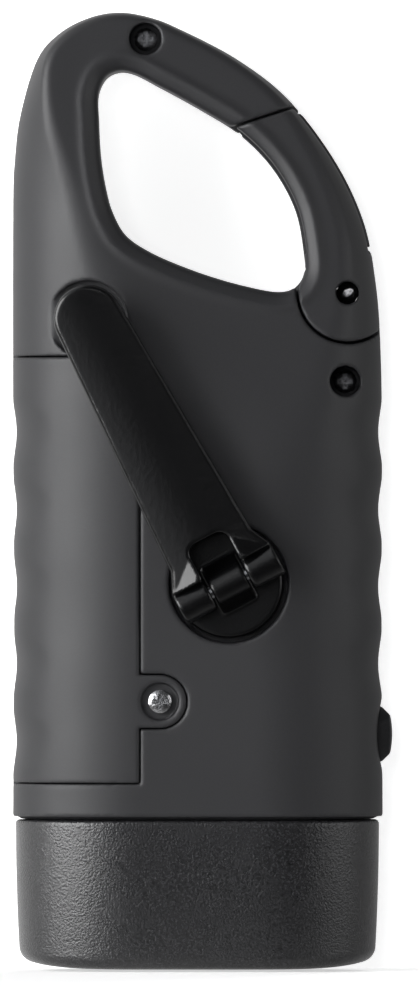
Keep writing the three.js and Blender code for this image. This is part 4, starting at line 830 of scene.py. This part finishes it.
def screw_form():
    """Pan-head screw along +Z from its face: domed head with a cross recess, shank with a coarse thread."""
    tree, size = new_form("cross_screw", SCREW_SIZES)
    half = calc(tree, "MULTIPLY", size["Head Height"], 0.5)
    spot = add(tree, "ShaderNodeSeparateXYZ", Vector=add(tree, "GeometryNodeInputPosition")).outputs

    # Head: the rim of a thick disc's face sinks, as a dome
    blank = add(tree, "GeometryNodeMeshCylinder", {"fill_type": "TRIANGLE_FAN"}, Vertices=40,
                Fill_Segments=7, Radius=size["Head Radius"], Depth=size["Head Height"])
    flat = add(tree, "ShaderNodeCombineXYZ", X=spot["X"], Y=spot["Y"])
    out = add(tree, "ShaderNodeVectorMath", {"operation": "LENGTH"}, i0=flat).outputs["Value"]
    share = calc(tree, "DIVIDE", out, size["Head Radius"])
    fall = calc(tree, "POWER", share, 3.0)
    fall = calc(tree, "MULTIPLY", fall, size["Head Height"])
    face = calc(tree, "LESS_THAN", spot["Z"], 0.0)
    sink = calc(tree, "MULTIPLY", fall, face)
    sink = calc(tree, "MULTIPLY_ADD", sink, 0.35, half)
    move = add(tree, "ShaderNodeCombineXYZ", Z=sink)
    head = add(tree, "GeometryNodeSetPosition", Geometry=blank, Offset=move)

    # Recess: two crossed wings round a pyramid
    wing = calc(tree, "MULTIPLY", size["Recess"], 0.3)
    core = calc(tree, "MULTIPLY", size["Recess"], 0.38)
    deep = calc(tree, "MULTIPLY", size["Head Height"], 1.5)
    cut = add(tree, "GeometryNodeMeshBoolean", {"operation": "DIFFERENCE", "solver": "MANIFOLD"}, i0=head)
    for across, along in ((size["Recess"], wing), (wing, size["Recess"])):
        extent = add(tree, "ShaderNodeCombineXYZ", X=across, Y=along, Z=size["Head Height"])
        tree.links.new(add(tree, "GeometryNodeMeshCube", Size=extent).outputs[0], cut.inputs[1])
    pyramid = add(tree, "GeometryNodeMeshCone", Vertices=4, Radius_Top=core, Radius_Bottom=wing,
                  Depth=deep)
    tree.links.new(pyramid.outputs[0], cut.inputs[1])

    # Shank: a rod drawn in along one turn of a ramp for each pitch
    length = calc(tree, "SUBTRACT", size["Length"], half)
    bar = add(tree, "GeometryNodeMeshCylinder", Vertices=20, Side_Segments=48,
              Radius=size["Shank Radius"], Depth=length)
    angle = calc(tree, "ARCTAN2", spot["Y"], spot["X"])
    turn = calc(tree, "DIVIDE", angle, math.tau)
    climb = calc(tree, "DIVIDE", spot["Z"], size["Pitch"])
    phase = calc(tree, "SUBTRACT", climb, turn)
    ridge = calc(tree, "PINGPONG", phase, 0.5)
    shrink = calc(tree, "MULTIPLY_ADD", ridge, -0.5, 1.0)
    scale = add(tree, "ShaderNodeCombineXYZ", X=shrink, Y=shrink, Z=1.0)
    narrow = add(tree, "ShaderNodeVectorMath", {"operation": "MULTIPLY"},
                 i0=add(tree, "GeometryNodeInputPosition"), i1=scale)
    thread = add(tree, "GeometryNodeSetPosition", Geometry=bar, Position=narrow)
    middle_z = calc(tree, "MULTIPLY_ADD", length, 0.5, half)
    down = add(tree, "ShaderNodeCombineXYZ", Z=middle_z)
    shank = add(tree, "GeometryNodeTransform", Geometry=thread, Translation=down)
    whole = add(tree, "GeometryNodeMeshBoolean", {"operation": "UNION", "solver": "MANIFOLD"})
    tree.links.new(cut.outputs[0], whole.inputs[1])
    tree.links.new(shank.outputs[0], whole.inputs[1])
    return finish_form(tree, whole, size["Finish"], CREASE)


def spring_form():
    """Round wire wound along +Z, from a start radius to an end radius."""
    tree, size = new_form("wire_spring", ["Start Radius", "End Radius", "Turns", "Height", "Wire Radius"])
    path = add(tree, "GeometryNodeCurveSpiral", Resolution=40, Rotations=size["Turns"],
               Start_Radius=size["Start Radius"], End_Radius=size["End Radius"], Height=size["Height"])
    ring = add(tree, "GeometryNodeCurvePrimitiveCircle", Resolution=12, Radius=size["Wire Radius"])
    wire = add(tree, "GeometryNodeCurveToMesh", Curve=path, Profile_Curve=ring, Fill_Caps=True)
    return finish_form(tree, wire, size["Finish"], WIRE_CREASE)


def formed(name, tree, values, place):
    """Piece made by a Geometry Nodes tree in millimetres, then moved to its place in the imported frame."""
    piece = new_mesh(name, np.zeros((3, 3)), np.array([[0, 1, 2]]))
    modifier = piece.modifiers.new("form", "NODES")
    modifier.node_group = tree
    for socket in tree.interface.items_tree:
        if socket.in_out == "INPUT":
            modifier[socket.identifier] = values[socket.name]
    mesh = settle(piece)
    points = np.empty(len(mesh.vertices) * 3)
    mesh.vertices.foreach_get("co", points)
    mesh.vertices.foreach_set("co", place(points.reshape(-1, 3)).ravel())
    mesh.update()
    return piece


# Materials

def linear(code):
    """An sRGB hex colour as linear RGBA."""
    parts = [int(code[k:k + 2], 16) / 255 for k in (0, 2, 4)]
    return [p / 12.92 if p <= 0.04045 else ((p + 0.055) / 1.055) ** 2.4 for p in parts] + [1.0]


def empty_tree(owner):
    """Node tree of a material or world, emptied."""
    owner.use_nodes = True
    owner.node_tree.nodes.clear()
    return owner.node_tree


def new_material(name, **values):
    """Principled material with its plain values set on the shader's own sockets."""
    material = bpy.data.materials.new(name)
    tree = empty_tree(material)
    shader = add(tree, "ShaderNodeBsdfPrincipled", **values)
    add(tree, "ShaderNodeOutputMaterial", Surface=shader.outputs[0])
    return material, tree, shader


def noise(tree, size, detail=2.0, stretch=(1, 1, 1)):
    """Noise of a size in millimetres, finer along the stretched axes."""
    place = add(tree, "ShaderNodeTexCoord").outputs["Object"]
    place = add(tree, "ShaderNodeMapping", Vector=place, Scale=stretch)
    return add(tree, "ShaderNodeTexNoise", Vector=place, Scale=1000 / size, Detail=detail)


def textured(tree, shader, grain, patches, dark, light, rough, depth):
    """Colour and relief that follow one grain, and a range of roughness that follows patches."""
    even = ramp(tree, grain, 0.3, 0.7)
    tint = add(tree, "ShaderNodeMix", {"data_type": "RGBA"}, i0=even, i6=linear(dark), i7=linear(light))
    haze = ramp(tree, patches, 0.0, 1.0, *rough)
    relief = add(tree, "ShaderNodeBump", Height=grain, Distance=depth / 1000)
    tree.links.new(tint.outputs["Result"], shader.inputs["Base Color"])
    tree.links.new(haze.outputs[0], shader.inputs["Roughness"])
    tree.links.new(relief.outputs[0], shader.inputs["Normal"])


def plastic(name, dark, light, size, depth, rough, spread=0.06, **values):
    """Moulded plastic with a grain of a size and depth in millimetres, and its gloss in broad patches."""
    material, tree, shader = new_material(name, **values)
    textured(tree, shader, noise(tree, size), noise(tree, 40 * size, 3.0), dark, light,
             (rough - spread, rough + spread), depth)
    return material


def metal(name, dark, light, rough, stretch=(1, 1, 1), size=0.25, depth=0.004):
    """Metal with fine marks, finer along the stretched axes, of a size and depth in millimetres."""
    material, tree, shader = new_material(name, Metallic=1.0)
    marks = noise(tree, size, 3.0, stretch)
    textured(tree, shader, marks, marks, dark, light, (rough - 0.06, rough + 0.08), depth)
    return material


CLEAR_RIPPLE = 4e-6


def clear(name, colour, rough, size, **values):
    """Clear moulding with a trace of ripple, of a size in millimetres."""
    material, tree, shader = new_material(name, Base_Color=linear(colour), Roughness=rough,
                                          Transmission_Weight=1.0, **values)
    relief = add(tree, "ShaderNodeBump", Height=noise(tree, size), Distance=CLEAR_RIPPLE)
    tree.links.new(relief.outputs[0], shader.inputs["Normal"])
    return material


# The real grains, of 0.02 to 0.1 mm, wouldn't show in the render, so each is drawn as coarse as it needs.
FINISHES = {
    # ABS with a soft-touch coat: matt, very fine grain, a faint sheen at grazing angles
    "soft_touch_shell": plastic("soft_touch_coated_abs", "2a2a2c", "2e2e30", 0.22, 0.006, 0.5, IOR=1.5),
    # Spark-eroded ABS: coarse sparkle of small flat pits, darker than the coated shell
    "bezel_textured": plastic("spark_textured_abs", "08080a", "2e2e30", 0.26, 0.08, 0.27, 0.05, IOR=1.65),
    # Polished ABS: near black, sharp reflections with a trace of moulding ripple
    "crank_gloss": plastic("polished_black_abs", "060607", "09090a", 0.7, 0.02, 0.24, 0.04, IOR=1.52),
    # As-moulded ABS of the button: matt black with a fine grain
    "button_black": plastic("moulded_black_abs", "1c1c1e", "242426", 0.2, 0.01, 0.5, IOR=1.5),
    # Uncoated ABS of the inside: dull black, slightly uneven
    "inner_black": plastic("inner_black_abs", "202022", "2a2a2c", 0.5, 0.02, 0.55, IOR=1.5),
    # Moulded nylon of the gears: creamy white with a waxy, soft shine
    "nylon_white": plastic("natural_nylon", "dedbd0", "e9e6dd", 0.8, 0.01, 0.45, IOR=1.53),
    # Shrunk PVC sleeve of the cell: plain green, smooth and fairly glossy
    "cell_sleeve": plastic("shrink_sleeve", "3a7456", "44825f", 3.0, 0.01, 0.3, IOR=1.5),
    # Solder mask on glass epoxy: dark green, satin, mottled by the weave under it
    "board_green": plastic("solder_mask_board", "1f5533", "2b6b42", 0.6, 0.02, 0.4, IOR=1.5),
    # Barrel-plated nickel on steel: bright, with dents and blooms that break each reflection into patches
    "screw_bright": metal("nickel_plated_steel", "8a8a8c", "e4e4e6", 0.24, size=0.5, depth=0.09),
    # Black zinc on steel: dull, with a few worn bright specks
    "screw_dull": metal("black_zinc_steel", "6a6a6c", "c8c8cc", 0.32, size=0.45, depth=0.06),
    # Ground steel: grey, with fine marks one way that draw its highlights out
    "steel": metal("ground_steel", "9fa1a4", "bcbec1", 0.3, (1, 8, 8)),
    # Drawn spring wire: pale grey, smooth, with sharp highlights along the turns
    "spring_steel": metal("drawn_spring_wire", "a0a2a6", "b8babd", 0.25),
    # Turned brass: warm yellow, its highlights spread by the tool marks
    "brass": metal("turned_brass", "a98a45", "c9a85a", 0.3, (1, 8, 1)),
    # Enamelled copper wire: reddish brown, with a varnish shine
    "copper_wire": metal("enamelled_copper", "8a4a26", "a55c31", 0.3),
    # Ground ferrite: dark grey and nearly matt
    "magnet": metal("ground_ferrite", "3c3c3e", "4d4d50", 0.5),
    # Metallised ABS: a mirror, slightly wavy from the moulding under it
    "reflector_chrome": metal("metallised_reflector", "cfd1d3", "dcdee0", 0.08, size=2.0, depth=0.002),
    # Polycarbonate of the lens: clear, glossy, with a faint ripple in what it mirrors
    "lens_clear": clear("clear_polycarbonate", "eef3f4", 0.03, 5.0, IOR=1.585),
    # Cast epoxy of the LEDs: clear, a little less even than the lens
    "led_clear": clear("clear_epoxy", "f2f6fa", 0.06, 2.0, IOR=1.54),
}
FINISHES["battery_door"] = FINISHES["soft_touch_shell"]
# Two nodes have a finish of their own beside that of their slot
OWN_FINISHES = {
    # Polished and then grained ABS of the hub: the same black, its reflections broken into fine grains
    "crank_hub": plastic("grained_black_abs", "050506", "080809", 0.25, 0.02, 0.3, 0.05, IOR=1.46),
    # Peened end of a steel rivet: dull and finely dented, so greyer than the plated screw beside it
    "gate_pin": metal("peened_steel", "4c4c4e", "a0a0a2", 0.42, size=0.35, depth=0.03),
}


def finish_piece(piece, node, body, slot):
    """The piece stands for a CAD node, rides on its body and takes its own finish or that of a slot."""
    piece.data.materials.clear()
    piece.data.materials.append(OWN_FINISHES.get(node, FINISHES[slot]))
    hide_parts(node)
    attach(piece, body)


# Camera

VIEW_DISTANCE = 3000.0
VIEW_HEIGHT = 125.0
VIEW_CENTRE = (1.51, 58.5)
VIEW_LEVEL = 55.0
SENSOR = 24.0

camera_data = bpy.data.cameras.new("camera")
camera_data.sensor_fit = "VERTICAL"
camera_data.sensor_height = SENSOR
camera_data.lens = SENSOR * VIEW_DISTANCE / VIEW_HEIGHT
camera_data.clip_start, camera_data.clip_end = 0.05, 20.0
camera = bpy.data.objects.new("camera", camera_data)
bpy.context.scene.collection.objects.link(camera)
stand = packed(np.array([VIEW_CENTRE[0], -VIEW_DISTANCE, VIEW_LEVEL]))
target = packed(np.array([VIEW_CENTRE[0], 0, VIEW_CENTRE[1]]))
camera.location = stand
camera.rotation_euler = Vector(target - stand).to_track_quat("-Z", "Y").to_euler()
bpy.context.scene.camera = camera

# Pieces

# Reach of the boxes that forms are sampled in
SIDE = 23.2
DEEP = 14.1
# Share of the faces that are kept
KEEP = {"front_shell": 0.6, "back_shell": 0.55, "gate_pin": 0.5}
# Form, named as its node is, box to sample, step, how it is placed, body and slot
PIECES = [
    (front_shell, (-SIDE, -DEEP, 13), (SIDE, 0, 119.6), 0.28, packed, "housing", "soft_touch_shell"),
    (back_shell, (-SIDE, 0, 13), (SIDE, DEEP, 119.6), 0.3, packed, "housing", "soft_touch_shell"),
    (battery_door, (-SIDE, -DEEP, 22.8), (2, 0, 76.6), 0.25, packed, "housing", "battery_door"),
    (gate, (3, -12, 77), (SIDE, 12, 108), 0.22, packed, "gate", "soft_touch_shell"),
    (head_bezel, (-SIDE, -DEEP, 0), (SIDE, DEEP, 18.7), 0.3, packed, "housing", "bezel_textured"),
    (crank_arm, (-7.2, -20.1, -2.1), (7.2, -14.9, 41.6), 0.17, on_crank, "crank_arm", "crank_gloss"),
    (crank_hub, (-6.9, -19.3, -6.9), (6.9, 11.3, 6.9), 0.17, on_crank, "crank_hub", "crank_gloss"),
    (crank_knob, (-3.8, -18.2, 33.4), (3.8, -14.3, 41), 0.15, on_crank, "crank_knob", "crank_gloss"),
    (power_button, (17, -3.5, 24.9), (24.5, 3.5, 33.7), 0.12, packed, "power_button", "button_black"),
    (gate_pin, (17.4, -9.1, 83), (20, 9.1, 85.6), 0.1, packed, "housing", "screw_bright"),
    (reflector, (-18.3, -7.7, 3.7), (18.3, 7.7, 11.3), 0.2, packed, "housing", "reflector_chrome"),
]
for form, low, high, step, place, body, slot in PIECES:
    node = form.__name__
    finish_piece(moulded(node + "_skin", form, low, high, step, place, KEEP.get(node, 1)), node, body, slot)
for k, cup in enumerate(CUPS):
    node = f"led_{k + 1}"
    lamp = moulded(node + "_skin", led, (-2.6, -2.6, 6.2), (2.6, 2.6, 11.6), 0.12,
                   lambda p: packed(p + (cup, 0, 0)), 1)
    finish_piece(lamp, node, "housing", "led_clear")

cross_screw = screw_form()


def driven_in(node):
    """Stands a screw in its node's place, its face at the front and its shank along +Y."""
    low, high = drawn_box(node)
    x, z = middle(node)
    return lambda p: packed(np.stack([p[:, 0] + x, p[:, 2] + low[1], z - p[:, 1]], axis=1))


def under_arm(p):
    """Stands the knob's screw in the arm's tip, its face to the body."""
    return on_crank(np.stack([p[:, 0], KNOB_FACE - p[:, 2], p[:, 1] + CRANK_RADIUS], axis=1))


KNOB_FACE = drawn_box("knob_screw")[1][1]
SHANK = 0.8
PITCH = 0.6
# Node, head's radius and height, width of the recess, length, body and slot
SCREWS = [
    ("battery_door_screw", 1.43, 0.9, 2.0, 4.2, "housing", "screw_bright"),
    ("shell_screw_top", 1.4, 0.9, 1.9, 8.5, "housing", "screw_dull"),
    ("shell_screw_side", 1.4, 0.9, 1.9, 8.5, "housing", "screw_dull"),
    *[(f"gear_plate_screw_{k}", 1.5, 1.0, 2.0, 5.5, "housing", "steel") for k in (1, 2, 3)],
    ("knob_screw", 2.1, 1.0, 2.4, 3.25, "crank_arm", "steel"),
]
for node, head_radius, head_height, recess, length, body, slot in SCREWS:
    values = dict(zip(SCREW_SIZES, (head_radius, head_height, recess, SHANK, length, PITCH)),
                  Finish=FINISHES[slot])
    place = under_arm if node == "knob_screw" else driven_in(node)
    finish_piece(formed(node + "_skin", cross_screw, values, place), node, body, slot)

wire_spring = spring_form()
gate_spring_low, gate_spring_high = drawn_box("gate_spring")
contact_low, contact_high = drawn_box("battery_contact_negative")
WIRES = {"gate_spring": 0.25, "battery_contact_negative": 0.3}
TURNS = 3.0


def round_pin(p):
    """Stands the gate's spring round its pin, behind the knuckle."""
    return packed(np.stack([p[:, 0] + gate_pivot[0], p[:, 2] + gate_spring_low[1] + WIRES["gate_spring"],
                            gate_pivot[1] - p[:, 1]], axis=1))


def under_cell(p):
    """Stands the wound contact under the cell."""
    centre = (contact_low + contact_high) / 2
    return packed(p + (centre[0], centre[1], contact_low[2] + WIRES["battery_contact_negative"]))


# Node, radii of the first and last turn, height and place
SPRINGS = [
    ("gate_spring", (2.1, 2.1), gate_spring_high[1] - gate_spring_low[1], round_pin),
    ("battery_contact_negative", (3.5, 2.1), contact_high[2] - contact_low[2], under_cell),
]
for node, (start, end), height, place in SPRINGS:
    wire = WIRES[node]
    values = {"Start Radius": start, "End Radius": end, "Turns": TURNS, "Height": height - 2 * wire,
              "Wire Radius": wire, "Finish": FINISHES["spring_steel"]}
    finish_piece(formed(node + "_skin", wire_spring, values, place), node, "housing", "spring_steel")

# CAD nodes that keep their shape take the finish of their slot
KEPT_NODES = {
    "lens_clear": ["lens"], "board_green": ["led_board", "circuit_board"],
    "brass": ["hub_bush", "rotor_pinion"],
    "steel": ["gear_plate", "idler_axle", "generator_can", "crank_hinge_pin", "rotor_shaft"],
    "inner_black": ["battery_tray", "power_switch", "capacitor"], "cell_sleeve": ["battery_cell"],
    "spring_steel": ["battery_contact_positive"], "copper_wire": ["stator_coil"],
    "nylon_white": ["crank_gear", "idler_gear"], "magnet": ["rotor_magnet"],
}
for slot, nodes in KEPT_NODES.items():
    for node in nodes:
        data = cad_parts[node].data
        data.materials.clear()
        data.materials.append(FINISHES[slot])

# Stage and light

def stage_sheet(name, corners, paper_glow, open_to_light):
    """Pale sheet that keeps the object's shadow and is clear from its back.

    Camera and clear pieces see it white. An open sheet lets diffuse and shadow rays pass.
    """
    sheet = new_mesh(name, np.array(corners), np.array([[0, 1, 2, 3]]), smooth=False)
    material = bpy.data.materials.new(name)
    tree = empty_tree(material)
    ray = add(tree, "ShaderNodeLightPath").outputs
    seen = calc(tree, "MAXIMUM", ray["Is Camera Ray"], ray["Is Transmission Ray"])
    paint = add(tree, "ShaderNodeBsdfDiffuse", Color=linear("f7f7f7"))
    shine = calc(tree, "MULTIPLY", seen, paper_glow)
    glow = add(tree, "ShaderNodeEmission", Color=linear("ffffff"), Strength=shine)
    plain = add(tree, "ShaderNodeAddShader", i0=paint, i1=glow)
    place = add(tree, "ShaderNodeTexCoord").outputs["Object"]
    place = add(tree, "ShaderNodeSeparateXYZ", Vector=place).outputs
    # Glossy pieces see it dimmer to the right and in front, as in a studio lit from the left
    across = ramp(tree, place["X"], -0.03, 0.03, 1.0, 0.3)
    along = ramp(tree, place["Y"], -0.06, 0.0, 0.15, 1.0)
    fade = calc(tree, "MULTIPLY", across, along)
    mirror = add(tree, "ShaderNodeEmission", Color=linear("ffffff"), Strength=fade)
    surface = add(tree, "ShaderNodeMixShader", i0=ray["Is Glossy Ray"], i1=plain, i2=mirror)
    back = add(tree, "ShaderNodeNewGeometry").outputs["Backfacing"]
    solid = calc(tree, "SUBTRACT", 1.0, back)
    if open_to_light:
        met = calc(tree, "MAXIMUM", seen, ray["Is Glossy Ray"])
        solid = calc(tree, "MULTIPLY", solid, met)
    gone = add(tree, "ShaderNodeBsdfTransparent")
    surface = add(tree, "ShaderNodeMixShader", i0=solid, i1=gone, i2=surface)
    add(tree, "ShaderNodeOutputMaterial", Surface=surface)
    sheet.data.materials.append(material)


FLOOR_GLOW = 0.54
BACK_GLOW = 0.7
FLOOR_Z = -0.0003
FLOOR_FRONT = -0.22
BACK_Y = 0.0175
WIDE = 1.5
stage_sheet("floor", [(-WIDE, FLOOR_FRONT, FLOOR_Z), (WIDE, FLOOR_FRONT, FLOOR_Z),
                      (WIDE, WIDE, FLOOR_Z), (-WIDE, WIDE, FLOOR_Z)], FLOOR_GLOW, False)
stage_sheet("backdrop", [(-WIDE, BACK_Y, -WIDE), (WIDE, BACK_Y, -WIDE), (WIDE, BACK_Y, WIDE),
                         (-WIDE, BACK_Y, WIDE)], BACK_GLOW, True)


def area_light(name, place, size, power, size_y, glossy=True):
    """Soft lamp aimed at the middle of the object."""
    data = bpy.data.lights.new(name, "AREA")
    data.shape, data.energy, data.size, data.size_y = "RECTANGLE", power, size, size_y
    light = bpy.data.objects.new(name, data)
    light.location = place
    light.rotation_euler = (Vector((0, 0, 0.06)) - Vector(place)).to_track_quat("-Z", "Y").to_euler()
    light.visible_glossy, light.visible_camera = glossy, False
    bpy.context.scene.collection.objects.link(light)


# Name, place, width, power, height
area_light("key", (-0.08, -1.0, 0.14), 0.14, 2.0, 0.14, glossy=False)
area_light("sparkle", (0.14, -1.0, 0.32), 0.12, 0.1, 0.12)
area_light("left", (-0.5, -0.33, 0.06), 0.55, 7.8, 0.7)
area_light("right", (0.55, -0.22, 0.04), 0.5, 1.1, 0.6)
area_light("back", (0.2, 0.9, 0.45), 0.5, 6.0, 0.5, glossy=False)

world = bpy.data.worlds.new("world")
bpy.context.scene.world = world
tree = empty_tree(world)
ray = add(tree, "ShaderNodeLightPath").outputs
seen = calc(tree, "MAXIMUM", ray["Is Camera Ray"], ray["Is Transmission Ray"])
heading = add(tree, "ShaderNodeTexCoord").outputs["Generated"]
heading = add(tree, "ShaderNodeSeparateXYZ", Vector=heading).outputs
# Glossy pieces see the pale studio behind and to the left of the object, and its dim front
behind = ramp(tree, heading["Y"], -0.3, 0.2, 0.05, 0.5)
beside = ramp(tree, heading["X"], -0.07, -0.2, 0.05, 0.75)
mirrored = calc(tree, "MAXIMUM", behind, beside)
level = add(tree, "ShaderNodeMix", i0=ray["Is Glossy Ray"], i2=0.1, i3=mirrored)
white = add(tree, "ShaderNodeBackground", Color=linear("ffffff"), Strength=1.0)
soft = add(tree, "ShaderNodeBackground", Color=linear("f2f4f7"), Strength=level)
skies = add(tree, "ShaderNodeMixShader", i0=seen, i1=soft, i2=white)
add(tree, "ShaderNodeOutputWorld", Surface=skies)

bpy.context.scene.view_settings.view_transform = "Standard"
